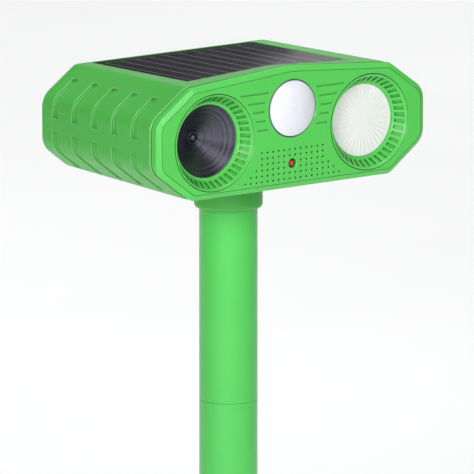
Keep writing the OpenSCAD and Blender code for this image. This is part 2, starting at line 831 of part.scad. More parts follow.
module driver_coil() {
    color(BRASS) in_head() {
        rod(5.4, 6, 9.5, sensor_board_back, sensor_board_back + 1.2);
        rod(4.2, 6, 9.5, sensor_board_back + 1.2, sensor_board_back + 5.8);
        rod(5.4, 6, 9.5, sensor_board_back + 5.8, sensor_board_back + 7);
    }
}

// A screw along Y: its head starts at depth a, its shank ends at depth a - reach
module screw(p, a, head_r, head_t, shank_r, reach) {
    difference() {
        union() {
            rod(head_r, p[0], p[1], a, a + head_t);
            rod(shank_r, p[0], p[1], a - reach, a + slice_t);
        }
        for (w = [[head_r, head_r / 3.5], [head_r / 3.5, head_r]])
            block(w[0], w[1], p[0], p[1], a + head_t / 2, a + head_t + cut);
    }
}

module board_screws() {
    color(SILVER) in_head() for (p = standoff_points)
        screw(p, sensor_board_back, small_head_r, small_head_t, small_screw_r, 8);
}

module cover_screws() {
    color(SILVER) in_head() for (p = screw_points)
        screw(p, well_y + well_floor, 2.7, 2, screw_r, screw_len);
}

// ---- Solar panel ----

module solar_layer(w, d, low, high) {
    translate([-w / 2, gable_d + panel_gap + (panel_d - d) / 2, low]) cube([w, d, high - low]);
}

module solar_backing() {
    color(WHITE) in_head() on_top() solar_layer(panel_w, panel_d, -tray_d, -tray_d + backing_t);
}

module solar_cells() {
    low = -tray_d + backing_t;
    pitch = panel_w / cell_count;
    color([0.06, 0.06, 0.1]) in_head() on_top() for (k = [0:cell_count - 1])
        translate([(k - (cell_count - 1) / 2) * pitch, 0, 0])
            solar_layer(pitch - cell_gap, panel_d - 1.4, low, low + cells_t);
}

module solar_cover() {
    color([0.3, 0.32, 0.4, 0.4]) in_head() on_top()
        solar_layer(panel_w, panel_d, -cover_sink - cover_t, -cover_sink);
}

// ---- Battery ----

module battery_holder() {
    low = holder_base_z;
    color(BLACK) in_head() difference() {
        union() {
            translate([cells_x - holder_half, holder_y, low])
                cube([2 * holder_half, holder_len, holder_t]);
            for (y = [holder_y, holder_y + holder_len - holder_wall])
                translate([cells_x - holder_half, y, low])
                    cube([2 * holder_half, holder_wall, 13.4]);
        }
        for (y = holder_screw_ys) translate([cells_x, y, low - cut])
            cylinder(r = small_screw_r + 0.25, h = holder_t + 2 * cut);
    }
}

module battery_cells() {
    start = holder_y + holder_wall + 0.6;
    color([0.25, 0.45, 0.7]) in_head() for (side = [-1, 1]) {
        x = cells_x + side * cell_pitch / 2;
        rod(cell_r, x, cell_z, start, start + cell_len - 1.2);
        rod(2.6, x, cell_z, start + cell_len - 1.2, start + cell_len);
    }
}

module battery_contacts() {
    front = holder_y + holder_wall;
    rear = front + 0.6 + cell_len;
    color(SILVER) in_head() for (side = [-1, 1]) {
        x = cells_x + side * cell_pitch / 2;
        block(9, 9, x, cell_z, front, front + 0.6);
        block(9, 9, x, cell_z, rear, rear + 0.8);
    }
}

module holder_screws() {
    z = holder_base_z + holder_t;
    color(SILVER) in_head() for (y = holder_screw_ys) translate([cells_x, y, z]) {
        cylinder(r = small_head_r, h = small_head_t);
        translate([0, 0, -3.8]) cylinder(r = small_screw_r, h = 3.8 + slice_t);
    }
}

// ---- Control board and its parts ----

module control_board() {
    color(BOARD_GREEN) in_head() difference() {
        union() {
            block(100, 16, 0, 1, control_board_y, control_board_back);
            block(30, 21, 0, 2.5, control_board_y, control_board_back);
        }
        for (p = control_points)
            rod(small_screw_r + 0.25, p[0], p[1], control_board_y - cut, control_board_back + cut);
    }
}

module control_screws() {
    color(SILVER) in_head() for (p = control_points) {
        rod(small_head_r, p[0], p[1], control_board_y - small_head_t, control_board_y);
        rod(small_screw_r, p[0], p[1], control_board_y - slice_t, control_board_back + 4.4);
    }
}

// Rotary part with a bore for the dial's shaft
module rotary(x) {
    difference() {
        block(switch_w, switch_w, x, 0, control_board_back, control_board_back + switch_d);
        rod(shaft_r + run_gap, x, 0, control_board_back + 0.6, control_board_back + switch_d + cut);
    }
}

module mode_switch() {
    color(BLACK) in_head() rotary(dial_x);
}

module sensitivity_pot() {
    color([0.2, 0.3, 0.6]) in_head() rotary(-dial_x);
}

module power_switch() {
    color(BLACK) in_head() {
        block(6, 6, 0, button_z, control_board_back, control_board_back + tact_h - 0.8);
        rod(1.7, 0, button_z, control_board_back + tact_h - 0.8, control_board_back + tact_h);
    }
}

module usb_socket() {
    depth = 7.2;
    color(SILVER) in_head() difference() {
        block(9, 3.2, 0, usb_z, control_board_back, control_board_back + depth);
        difference() {
            block(8.4, 2.6, 0, usb_z, control_board_back + 1, control_board_back + depth + cut);
            block(6.8, 0.7, 0, usb_z, control_board_back, control_board_back + depth - 1);
        }
    }
}

// Dial: knob with a finger bar, ribbed edge and shaft
module dial(x) {
    back = head_d - dial_recess_d + dial_gap / 2;
    front = back + dial_t;
    notch_r = 0.7;
    notches = 24;
    color(BLACK) in_head() {
        difference() {
            rod(dial_r, x, 0, back, front);
            for (k = [0:notches - 1]) translate([x, 0, 0]) rotate([0, 360 * k / notches, 0])
                rod(notch_r, dial_r + 0.2, 0, back - cut, front + cut);
            difference() {
                rod(dial_r - 1.6, x, 0, front - 1.8, front + cut);
                block(2.6, 2 * dial_r, x, 0, front - 3, front + 2 * cut);
            }
        }
        rod(shaft_r, x, 0, control_board_back + 0.8, back + slice_t);
    }
}

module mode_dial() {
    dial(dial_x);
}

module sensitivity_dial() {
    dial(-dial_x);
}

module power_button() {
    color([0.85, 0.25, 0.1]) in_head() {
        rod(button_r, 0, button_z, flange_in_y, head_d + 1);
        rod(button_r + 1.2, 0, button_z, flange_in_y, flange_in_y + 1.1);
        rod(1.5, 0, button_z, control_board_back + tact_h + button_travel + 0.1, flange_in_y + slice_t);
    }
}

module usb_cover() {
    outside = head_d - 0.1;
    color(SEAL_GREY) in_head() {
        block(flap_w, flap_h, 0, usb_z, outside - flap_t, outside);
        block(port_w - 1.6, port_h - 1.8, 0, usb_z, outside - flap_t - 1, outside - flap_t + slice_t);
        block(5, 1.2, 0, flap_top - flap_h + 1, outside - slice_t, outside + 0.8);
    }
}

// ---- Leads ----

SIDE_X = [1, 0, 0];
SIDE_Z = [0, 0, 1];

module panel_leads() {
    top = top_z(panel_lead_y) - tray_d;
    color([0.7, 0.1, 0.1]) in_head()
        lead([panel_lead_x, panel_lead_y, top], [panel_lead_x, panel_lead_y, 9],
            [panel_lead_x, panel_lead_y + 4, 6], [panel_lead_x, control_board_y, 6], 1, SIDE_X);
}

module battery_leads() {
    y = holder_y + holder_len - holder_wall / 2;
    x = cells_x - 4;
    z = holder_base_z + 13.4;
    color([0.7, 0.1, 0.1]) in_head()
        lead([x, y, z], [x, y, z + 11], [x, y - 10, z + 11], [x, control_board_y, z + 11],
            0.6, SIDE_X);
}

module board_leads() {
    x = -10;
    color([0.2, 0.2, 0.2]) in_head()
        lead([x, sensor_board_back, -2], [x, sensor_board_back + 20, -2],
            [x, control_board_y - 20, 3], [x, control_board_y, 3], 1.2, SIDE_X);
}

module speaker_leads() {
    color([0.1, 0.1, 0.1]) in_head()
        lead([-ring_x, basket_back, 4], [-ring_x, basket_back + 13, 4],
            [-14, sensor_board_back + 16, 4], [-14, sensor_board_back, 4], 0.9, SIDE_Z);
}

module lamp_leads() {
    back = lamp_board_y + board_t;
    color([0.1, 0.1, 0.1]) in_head()
        lead([ring_x, back, 4], [ring_x, back + 15, 4],
            [14, sensor_board_back + 16, 4], [14, sensor_board_back, 4], 0.9, SIDE_Z);
}

ground_spike();
stake_tube();
rear_housing();
front_cover();
cover_gasket();
speaker_ring();
lamp_ring();
speaker_cone();
speaker_dome();
speaker_basket();
piezo_disc();
damper_pad();
lamp_lens();
lamp_reflector();
lamp_board();
lamp_leds();
pir_lens();
pir_retainer();
pir_sensor();
pir_window();
indicator_led();
alarm_buzzer();
sensor_board();
board_chips();
board_capacitors();
driver_coil();
board_screws();
solar_backing();
solar_cells();
solar_cover();
battery_holder();
battery_cells();
battery_contacts();
holder_screws();
control_board();
control_screws();
mode_switch();
sensitivity_pot();
power_switch();
usb_socket();
cover_screws();
mode_dial();
sensitivity_dial();
power_button();
usb_cover();
panel_leads();
battery_leads();
board_leads();
speaker_leads();
lamp_leads();
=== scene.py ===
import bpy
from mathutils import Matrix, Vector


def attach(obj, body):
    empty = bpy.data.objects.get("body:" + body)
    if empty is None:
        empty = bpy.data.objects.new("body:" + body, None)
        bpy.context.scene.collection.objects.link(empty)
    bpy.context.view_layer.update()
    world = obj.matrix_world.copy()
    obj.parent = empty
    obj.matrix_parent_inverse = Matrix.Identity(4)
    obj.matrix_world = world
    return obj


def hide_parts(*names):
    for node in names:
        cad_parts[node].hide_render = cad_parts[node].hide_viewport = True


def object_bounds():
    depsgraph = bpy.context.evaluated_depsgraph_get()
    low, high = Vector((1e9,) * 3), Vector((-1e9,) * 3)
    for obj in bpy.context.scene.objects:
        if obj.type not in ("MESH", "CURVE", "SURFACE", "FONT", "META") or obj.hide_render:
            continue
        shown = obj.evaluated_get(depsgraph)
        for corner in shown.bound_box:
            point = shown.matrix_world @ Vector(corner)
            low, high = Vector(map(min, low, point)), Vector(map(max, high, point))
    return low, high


bl_info = {
    "name": "Garden Pest Repeller",
    "version": (1, 0, 0),
    "blender": (4, 5, 0),
    "location": "3D View > Sidebar > Repeller",
    "description": "Models the shells, rings, lamp, panel, stake and insides of a solar pest repeller",
    "category": "Add Mesh",
}

from math import atan, atan2, copysign, cos, pi, radians, sin, sqrt, tan, tau

import bmesh
import bpy
from bpy.props import FloatProperty, FloatVectorProperty, IntProperty, PointerProperty
from bpy.types import Operator, Panel, PropertyGroup
from mathutils import Matrix, Vector

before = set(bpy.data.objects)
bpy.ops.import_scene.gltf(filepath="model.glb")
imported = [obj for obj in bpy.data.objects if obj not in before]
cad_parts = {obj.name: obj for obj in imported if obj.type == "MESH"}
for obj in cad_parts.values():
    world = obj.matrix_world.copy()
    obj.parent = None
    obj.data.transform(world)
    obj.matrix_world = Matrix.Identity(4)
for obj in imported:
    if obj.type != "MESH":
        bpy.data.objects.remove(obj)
cad_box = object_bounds()

MM = 0.001
# The head's own origin: the middle of the front lip. The head is modelled round it in
# millimetres, with X across, Y back from the lip and Z up.
HEAD = Vector((0, -0.045, 0.155))
HEAD_FRAME = Matrix.Translation(HEAD) @ Matrix.Scale(MM, 4)
ROW_FRAME = Matrix.Scale(MM, 4)


# ---- Sizes and colours ----

def length(name, millimetres, description):
    """A size that the sidebar shows as a length."""
    return FloatProperty(name=name, description=description, default=millimetres * MM,
                         min=-1.0, unit="LENGTH", precision=5)


def tone(name, red, green, blue, description):
    """A colour given as the 0 to 255 values of a colour picker."""
    linear = [(c / 255 / 12.92) if c <= 10 else ((c / 255 + 0.055) / 1.055) ** 2.4
              for c in (red, green, blue)]
    return FloatVectorProperty(name=name, description=description, default=linear, min=0.0, max=1.0,
                               size=3, subtype="COLOR")


class HeadShape(PropertyGroup):
    half_width: length("Half width", 72.5, "Middle of the head to its side corners")
    depth: length("Depth", 88.4, "Front lip to rear wall")
    side_top: length("Side top", 11, "Height of the upper side corners")
    side_bottom: length("Side bottom", 10.8, "Drop of the lower side corners")
    shoulder: length("Shoulder height", 24.65, "Height of the shoulders")
    shoulder_in: length("Shoulder inset", 19, "Side corner to shoulder, across")
    peak: length("Peak", 28.9, "Height of the soft peak of the front")
    drop: length("Base drop", 24.65, "Mid level down to the underside")
    foot_in: length("Foot inset", 18.6, "Side corner to lower corner, across")
    side_radius: length("Side radius", 9, "Rounding of the side corners")
    shoulder_radius: length("Shoulder radius", 6, "Rounding of shoulders and lower corners")
    peak_radius: length("Peak radius", 60, "Rounding of the peak")
    rim: length("Rim depth", 4.3, "Front lip to the seam of cover and housing")
    face_rise: length("Face rise", 1.3, "How far the front face stands ahead of the lip")
    plate: length("Front plate", 2.4, "Thickness of the front plate")
    wall: length("Wall", 2.6, "Thickness of the housing's walls")
    rear_radius: length("Rear edge", 1.6, "Rounding of the rear edges")


class GrooveShape(PropertyGroup):
    count: IntProperty(name="Grooves", description="Grooves along each side", default=5, min=1)
    first: length("First groove", 18.8, "Front lip to the rear edge of the first groove")
    pitch: length("Pitch", 15.15, "Spacing of the grooves")
    width: length("Width", 4.8, "Width of a groove")
    depth: length("Depth", 1.2, "Depth of a groove")
    upper_end: length("Upper end", 1.84, "Height where the upper grooves stop")
    lower_end: length("Lower end", -4, "Height where the lower grooves start")


class RingShape(PropertyGroup):
    across: length("Distance", 42, "Middle of the head to a ring's centre")
    height: length("Height", -0.4, "Height of the rings' centres")
    radius: length("Radius", 21, "Outer radius of a ring")
    bore: length("Bore", 16.05, "Radius of a ring's opening")
    depth: length("Cone depth", 5.6, "Front face to the ring's inner rim")
    ribs: IntProperty(name="Ribs", description="Ribs round a ring", default=40, min=12)
    pocket: length("Pocket depth", 1.0, "Depth of the pockets between ribs")


class PanelShape(PropertyGroup):
    width: length("Width", 88, "Width of the solar panel")
    depth: length("Depth", 71.4, "Depth of the solar panel")
    start: length("Start", 15.3, "Front lip to the panel's front edge")
    recess: length("Recess", 3.2, "Depth of the tray that the panel lies in")
    strips: IntProperty(name="Strips", description="Strips of solar cell", default=11, min=1)
    gap: length("Gap", 0.6, "Gap between two strips")


class StakeShape(PropertyGroup):
    radius: length("Radius", 12.8, "Radius of the stake")
    seam: length("Seam", 29.3, "Height of the seam between tube and spike")
    spike: length("Spike", 130, "Length of the spike below the ground")
    fin: length("Fin", 2.8, "Thickness of the spike's fins")
    collar: length("Collar radius", 15.05, "Radius of the head's collar")
    collar_drop: length("Collar drop", 40.2, "Mid level of the head down to the collar's edge")


class Finishes(PropertyGroup):
    cover: tone("Front green", 84, 202, 84, "Moulded front cover and rings")
    housing: tone("Housing green", 80, 184, 76, "Moulded rear housing")
    stake: tone("Stake green", 84, 202, 90, "Tube and spike")
    black: tone("Black", 20, 20, 22, "Black mouldings")
    horn: tone("Horn", 96, 94, 108, "Speaker cone")
    cell: tone("Solar cell", 17, 18, 30, "Solar cells")
    backing: tone("Panel backing", 222, 208, 226, "Panel behind the cells")
    lens: tone("Lens white", 232, 233, 230, "Lamp window")
    dome: tone("Dome white", 232, 232, 242, "Motion sensor's dome")
    indicator: tone("Indicator", 190, 22, 52, "Indicator lamp")
    button: tone("Button", 226, 110, 30, "Power button")
    wrapper: tone("Cell wrapper", 52, 112, 178, "Battery wrapper")
    board: tone("Circuit board", 22, 84, 48, "Circuit boards")


class RepellerSettings(PropertyGroup):
    head: PointerProperty(type=HeadShape)
    grooves: PointerProperty(type=GrooveShape)
    rings: PointerProperty(type=RingShape)
    panel: PointerProperty(type=PanelShape)
    stake: PointerProperty(type=StakeShape)
    finishes: PointerProperty(type=Finishes)


class InMillimetres:
    """Reads a group of lengths, which Blender keeps in metres, in millimetres."""

    def __init__(self, group):
        self.group = group

    def __getattr__(self, name):
        value = getattr(self.group, name)
        return value if isinstance(value, int) else value / MM


def sizes(name):
    """The named group of sizes, in millimetres."""
    return InMillimetres(getattr(bpy.context.scene.repeller, name))


def colour_of(name):
    """The named colour, ready for a shader."""
    return tuple(getattr(bpy.context.scene.repeller.finishes, name)) + (1.0,)


# ---- Flat outlines ----

def rounded(points, closed=False, steps=4):
    """The chain of (a, b) or (a, b, radius) corners, with each radius turned into an arc."""
    corners = [Vector(p[:2]) for p in points]
    chain = []
    for i, point in enumerate(points):
        corner, radius = corners[i], point[2] if len(point) > 2 else 0
        if not radius or (not closed and i in (0, len(points) - 1)):
            chain.append(corner)
            continue
        before = (corners[i - 1] - corner).normalized()
        after = (corners[(i + 1) % len(corners)] - corner).normalized()
        half = before.angle(after) / 2
        centre = corner + (before + after).normalized() * radius / sin(half)
        start = corner + before * radius / tan(half) - centre
        end = corner + after * radius / tan(half) - centre
        sweep = (pi - 2 * half) * (1 if start.x * end.y > start.y * end.x else -1)
        for k in range(steps + 1):
            turn = sweep * k / steps
            chain.append(centre + Vector((start.x * cos(turn) - start.y * sin(turn),
                                          start.x * sin(turn) + start.y * cos(turn))))
    return chain


def inset(corners, distance):
    """Corners of a counter-clockwise polygon moved inwards, each with its rounding reduced."""
    moved = []
    for i, (x, z, radius) in enumerate(corners):
        here = Vector((x, z))
        come = (here - Vector(corners[i - 1][:2])).normalized()
        go = (Vector(corners[(i + 1) % len(corners)][:2]) - here).normalized()
        inward = Vector((-come.y, come.x)) + Vector((-go.y, go.x))
        shift = inward * distance / (1 + come.dot(go))
        moved.append((x + shift.x, z + shift.y, max(radius - distance, 0.6)))
    return moved


def mirrored(half):
    """A right half's corners and their mirror images."""
    return half + [(-x, z, radius) for x, z, radius in reversed(half)]


def right_half(head, share):
    """Corners of the head's right half, from share 0 at the rim to 1 at the rear wall."""
    front = [(head.half_width - head.foot_in, -head.drop, head.shoulder_radius),
             (head.half_width, -head.side_bottom, head.side_radius),
             (head.half_width, head.side_top, head.side_radius),
             (head.half_width - head.shoulder_in, head.shoulder, head.shoulder_radius)]
    drift = [(1.9, 2.45), (-3.1, -1.0), (-3.1, -1.0), (-1.9, -2.0)]
    return [(x + dx * share, z + dz * share, r) for (x, z, r), (dx, dz) in zip(front, drift)]


def depth_share(head, y):
    """0 at the seam of cover and housing, and 1 at the rear wall."""
    return (y - head.rim) / (head.depth - head.rim)


def body_outline(head, y, distance=0.0):
    """Flat-topped outline of the housing at depth y."""
    return rounded(inset(mirrored(right_half(head, depth_share(head, y))), distance), True, 8)


def front_outline(head, distance=0.0, peak=None):
    """Outline of the front, with its soft peak over the middle."""
    half = right_half(head, 0)
    left = [(-x, z, r) for x, z, r in reversed(half)]
    corners = half + [(0, peak or head.peak, head.peak_radius)] + left
    return rounded(inset(corners, distance), True, 8)


# Where the ridge of the front meets the panel: back from the lip, and height
RIDGE_FOOT = (15.3, 26.8)
# How far the flat top falls from the rim to the rear wall
TOP_FALL = 2.0
# The stake's axis, back from the lip
STAKE_BACK = 45


def ridge_height(head, y):
    """Height of the ridge that falls from the peak to the panel."""
    back, height = RIDGE_FOOT
    return head.peak - (head.peak - height) * y / back


def top_height(head, y):
    """Height of the flat top, which falls towards the rear."""
    return head.shoulder - TOP_FALL * depth_share(head, y)


# ---- Mesh work ----

def at_depth(outline, y):
    """Places of an outline that stands in the X-Z plane at depth y."""
    return [(p[0], y, p[1]) for p in outline]


def at_height(outline, z):
    """Places of an outline that lies in the X-Y plane at height z."""
    return [(p[0], p[1], z) for p in outline]


def face_outward(bm):
    """Turns every face of a closed solid outward."""
    bmesh.ops.recalc_face_normals(bm, faces=bm.faces[:])
    if bm.calc_volume(signed=True) < 0:
        bmesh.ops.reverse_faces(bm, faces=bm.faces[:])


def loft(bm, stations):
    """A solid drawn out from the first outline through the others, closed at both ends."""
    ring = [bm.verts.new(place) for place in stations[0]]
    edges = [bm.edges.new(pair) for pair in zip(ring, ring[1:] + ring[:1])]
    bmesh.ops.contextual_create(bm, geom=edges)
    for places in stations[1:]:
        made = bmesh.ops.extrude_edge_only(bm, edges=edges)["geom"]
        fresh = {item for item in made if isinstance(item, bmesh.types.BMVert)}
        edges = [item for item in made if isinstance(item, bmesh.types.BMEdge)
                 and item.verts[0] in fresh and item.verts[1] in fresh]
        ring = [next(edge.other_vert(vert) for edge in vert.link_edges
                     if edge.other_vert(vert) in fresh) for vert in ring]
        for vert, place in zip(ring, places):
            vert.co = place
    bmesh.ops.contextual_create(bm, geom=edges)
    face_outward(bm)


def turned(bm, profile, centre=(0, 0), steps=96, axis="Y", closed=False):
    """Spins (radius, distance along the axis) points into a full turn about the axis."""
    if axis == "Y":
        places = [(centre[0] + r, d, centre[1]) for r, d in profile]
        pivot, line = (centre[0], 0, centre[1]), (0, 1, 0)
    else:
        places = [(centre[0] + r, centre[1], d) for r, d in profile]
        pivot, line = (centre[0], centre[1], 0), (0, 0, 1)
    verts = [bm.verts.new(place) for place in places]
    pairs = list(zip(verts, verts[1:])) + ([(verts[-1], verts[0])] if closed else [])
    edges = [bm.edges.new(pair) for pair in pairs]
    bmesh.ops.spin(bm, geom=verts + edges, cent=pivot, axis=line, angle=tau, steps=steps,
                   use_merge=True)
    bmesh.ops.remove_doubles(bm, verts=bm.verts[:], dist=0.0005)
    face_outward(bm)


def turned_solid(profile, centre=(0, 0), steps=96, axis="Y", closed=False):
    """The mesh of a turned shape alone."""
    bm = bmesh.new()
    turned(bm, profile, centre, steps, axis, closed)
    return bm


def box_solid(low, high, softness=0.0, matrix=None):
    """A box from corner to corner, with its edges rounded off."""
    bm = bmesh.new()
    bmesh.ops.create_cube(bm, size=1.0)
    size = [h - l for l, h in zip(low, high)]
    middle = [(l + h) / 2 for l, h in zip(low, high)]
    bmesh.ops.scale(bm, vec=size, verts=bm.verts)
    bmesh.ops.translate(bm, vec=middle, verts=bm.verts)
    if softness:
        bmesh.ops.bevel(bm, geom=bm.edges[:], offset=softness, affect="EDGES", segments=2,
                        profile=0.5, material=-1, clamp_overlap=True)
    if matrix:
        bmesh.ops.transform(bm, matrix=matrix, verts=bm.verts)
    return bm


def rectangle(half_x, low_y, high_y, radius):
    """Outline of a rectangle with rounded corners."""
    return rounded([(-half_x, low_y, radius), (half_x, low_y, radius),
                    (half_x, high_y, radius), (-half_x, high_y, radius)], True, 4)


def merged(parts):
    """One mesh holding every part, each still a separate closed shell."""
    whole = bmesh.new()
    for part in parts:
        mesh = bpy.data.meshes.new("part")
        part.to_mesh(mesh)
        part.free()
        whole.from_mesh(mesh)
        bpy.data.meshes.remove(mesh)
    return whole


def combine(bm, tools, operation):
    """Adds each tool's solid to bm, or cuts it away, and gives back the new mesh."""
    host = plain_object(bm)
    helpers = [plain_object(tool) for tool in tools]
    for helper in helpers:
        modifier = host.modifiers.new("shape", "BOOLEAN")
        modifier.object = helper
        modifier.operation = operation
        modifier.solver = "MANIFOLD"
    bpy.context.view_layer.update()
    evaluated = host.evaluated_get(bpy.context.evaluated_depsgraph_get())
    result = bmesh.new()
    result.from_mesh(evaluated.to_mesh())
    evaluated.to_mesh_clear()
    for spare in [host] + helpers:
        mesh = spare.data
        bpy.data.objects.remove(spare)
        bpy.data.meshes.remove(mesh)
    if len(result.faces) < 4:
        raise RuntimeError("a solid was lost while shapes were combined")
    return result


def plain_object(bm):
    """A triangulated mesh as an object, for a modifier to work on."""
    bmesh.ops.triangulate(bm, faces=bm.faces[:])
    mesh = bpy.data.meshes.new("helper")
    bm.to_mesh(mesh)
    bm.free()
    made = bpy.data.objects.new("helper", mesh)
    bpy.context.scene.collection.objects.link(made)
    return made


def clean(bm):
    """Joins what a cut left split, so shading stays even."""
    bmesh.ops.remove_doubles(bm, verts=bm.verts[:], dist=0.002)
    bmesh.ops.dissolve_degenerate(bm, edges=bm.edges[:], dist=0.001)


def make_piece(bm, name, finish_name, body, replaces=None, place=HEAD_FRAME, crease=32):
    """Turns a mesh into a finished piece that rides on a body and stands for CAD nodes."""
    bmesh.ops.transform(bm, matrix=place, verts=bm.verts)
    for face in bm.faces:
        face.smooth = True
    for edge in bm.edges:
        edge.smooth = len(edge.link_faces) == 2 and edge.calc_face_angle(0) < radians(crease)
    mesh = bpy.data.meshes.new(name)
    bm.to_mesh(mesh)
    bm.free()
    piece = bpy.data.objects.new(name, mesh)
    bpy.context.scene.collection.objects.link(piece)
    mesh.materials.append(finish(finish_name))
    even = piece.modifiers.new("even shading", "WEIGHTED_NORMAL")
    even.mode = "FACE_AREA_WITH_ANGLE"
    even.keep_sharp = True
    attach(piece, body)
    if replaces:
        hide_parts(replaces)
    return piece


# ---- Finishes ----

def feed(tree, node, inputs):
    """Gives each named input its value, or the socket that feeds it."""
    for key, value in inputs.items():
        if isinstance(value, bpy.types.NodeSocket):
            tree.links.new(value, node.inputs[key])
        else:
            node.inputs[key].default_value = value


def put(tree, kind, inputs=None, **settings):
    """Places a shader node with its settings and inputs."""
    made = tree.nodes.new(kind)
    for key, value in settings.items():
        setattr(made, key, value)
    feed(tree, made, inputs or {})
    return made


def calc(tree, operation, a, b=0.0, c=0.0):
    """The result of a Math node."""
    return put(tree, "ShaderNodeMath", {0: a, 1: b, 2: c}, operation=operation).outputs[0]


def spread(tree, value, low, high, to_low=0.0, to_high=1.0):
    """Value remapped from one range to another, and held inside it."""
    return put(tree, "ShaderNodeMapRange", {"Value": value, "From Min": low, "From Max": high,
                                            "To Min": to_low, "To Max": to_high}).outputs[0]


def mix_colour(tree, share, first, second):
    """Colour that runs from first to second with share."""
    return put(tree, "ShaderNodeMix", {0: share, 6: first, 7: second}, data_type="RGBA").outputs[2]


def start_group(name, inputs, outputs):
    """An empty node group with its sockets, and its input and output nodes."""
    group = bpy.data.node_groups.new(name, "ShaderNodeTree")
    for label, kind, value in inputs:
        socket = group.interface.new_socket(name=label, in_out="INPUT", socket_type=kind)
        if value is not None:
            socket.default_value = value
    for label, kind in outputs:
        group.interface.new_socket(name=label, in_out="OUTPUT", socket_type=kind)
    return group, group.nodes.new("NodeGroupInput").outputs, group.nodes.new("NodeGroupOutput")


def moulded_skin_group():
    """Spark-eroded skin of a moulding: fine grain, flow marks, edges paled partly by rubbing and partly
    as a painted highlight, and painted shade darkening its recesses.
    """
    group, given, out = start_group(
        "Moulded Skin",
        [("Vector", "NodeSocketVector", None), ("Colour", "NodeSocketColor", (0.5, 0.5, 0.5, 1)),
         ("Grain Scale", "NodeSocketFloat", 2200.0), ("Flow Scale", "NodeSocketFloat", 38.0),
         ("Mottle", "NodeSocketFloat", 0.12), ("Edge Wear", "NodeSocketFloat", 0.3),
         ("Recess Depth", "NodeSocketFloat", 0.75)],
        [("Colour", "NodeSocketColor"), ("Height", "NodeSocketFloat"),
         ("Gloss Shift", "NodeSocketFloat")])
    grain = put(group, "ShaderNodeTexNoise", {"Vector": given["Vector"], "Scale": given["Grain Scale"],
                                              "Detail": 2.0, "Roughness": 0.6}).outputs[0]
    flow = put(group, "ShaderNodeTexNoise", {"Vector": given["Vector"], "Scale": given["Flow Scale"],
                                             "Detail": 3.0, "Distortion": 0.6}).outputs[0]
    cells = put(group, "ShaderNodeTexVoronoi", {"Vector": given["Vector"],
                                                "Scale": given["Grain Scale"]}).outputs["Distance"]
    sway = calc(group, "MULTIPLY", calc(group, "SUBTRACT", flow, 0.5), given["Mottle"])
    speck = calc(group, "MULTIPLY", calc(group, "SUBTRACT", grain, 0.5),
                 calc(group, "MULTIPLY", given["Mottle"], 0.5))
    brightness = calc(group, "ADD", calc(group, "ADD", sway, speck), 1.0)
    shaded = put(group, "ShaderNodeVectorMath", {0: given["Colour"], "Scale": brightness},
                 operation="SCALE").outputs[0]
    skin = put(group, "ShaderNodeNewGeometry").outputs["Normal"]
    # Painted highlight mixed with rubbing: every edge that the bevel normal finds is paled towards
    # white.
    eased = put(group, "ShaderNodeBevel", {"Radius": 0.0005}, samples=3).outputs[0]
    agreed = put(group, "ShaderNodeVectorMath", {0: skin, 1: eased}, operation="DOT_PRODUCT")
    rubbed_and_highlit = calc(group, "MULTIPLY", spread(group, agreed.outputs["Value"], 0.995, 0.9),
                  given["Edge Wear"])
    rubbed_and_highlit = calc(group, "MULTIPLY", rubbed_and_highlit, spread(group, flow, 0.1, 0.5, 0.6, 1.0))
    pale = mix_colour(group, 0.35, given["Colour"], (1.0, 1.0, 1.0, 1.0))
    worn_and_highlit = mix_colour(group, rubbed_and_highlit, shaded, pale)
    # Painted shade: ambient occlusion darkens grooves, slots, seams and holes towards a darker, richer
    # tone of the colour.
    openness = put(group, "ShaderNodeAmbientOcclusion", {"Distance": 0.0022}, samples=6).outputs["AO"]
    painted_recess_shade = calc(group, "MULTIPLY", spread(group, openness, 0.8, 0.3), given["Recess Depth"])
    recess_shaded_colour = put(group, "ShaderNodeVectorMath", {0: worn_and_highlit, 1: worn_and_highlit}, operation="MULTIPLY").outputs[0]
    recess_shaded_colour = put(group, "ShaderNodeVectorMath", {0: recess_shaded_colour, "Scale": 0.6}, operation="SCALE").outputs[0]
    shift = calc(group, "ADD", calc(group, "MULTIPLY", calc(group, "SUBTRACT", flow, 0.5), 0.16),
                 calc(group, "MULTIPLY", rubbed_and_highlit, -0.12))
    feed(group, out, {"Colour": mix_colour(group, painted_recess_shade, worn_and_highlit, recess_shaded_colour), "Gloss Shift": shift,
                      "Height": calc(group, "ADD", grain, calc(group, "MULTIPLY", cells, 0.5))})
    return group


def lathe_marks_group():
    """Fine rings left by turning, about an axis through the vector's origin along Y."""
    group, given, out = start_group(
        "Lathe Marks", [("Vector", "NodeSocketVector", None), ("Pitch", "NodeSocketFloat", 0.0003)],
        [("Height", "NodeSocketFloat"), ("Band", "NodeSocketFloat")])
    parts = put(group, "ShaderNodeSeparateXYZ", {0: given["Vector"]}).outputs
    distance = calc(group, "SQRT", calc(group, "ADD", calc(group, "MULTIPLY", parts["X"], parts["X"]),
                                        calc(group, "MULTIPLY", parts["Z"], parts["Z"])))
    turns = calc(group, "DIVIDE", distance, given["Pitch"])
    band = put(group, "ShaderNodeTexNoise", {"W": calc(group, "MULTIPLY", turns, 0.35), "Scale": 1.0,
                                             "Detail": 2.0}, noise_dimensions="1D").outputs[0]
    feed(group, out, {"Height": calc(group, "SINE", calc(group, "MULTIPLY", turns, tau)),
                      "Band": band})
    return group


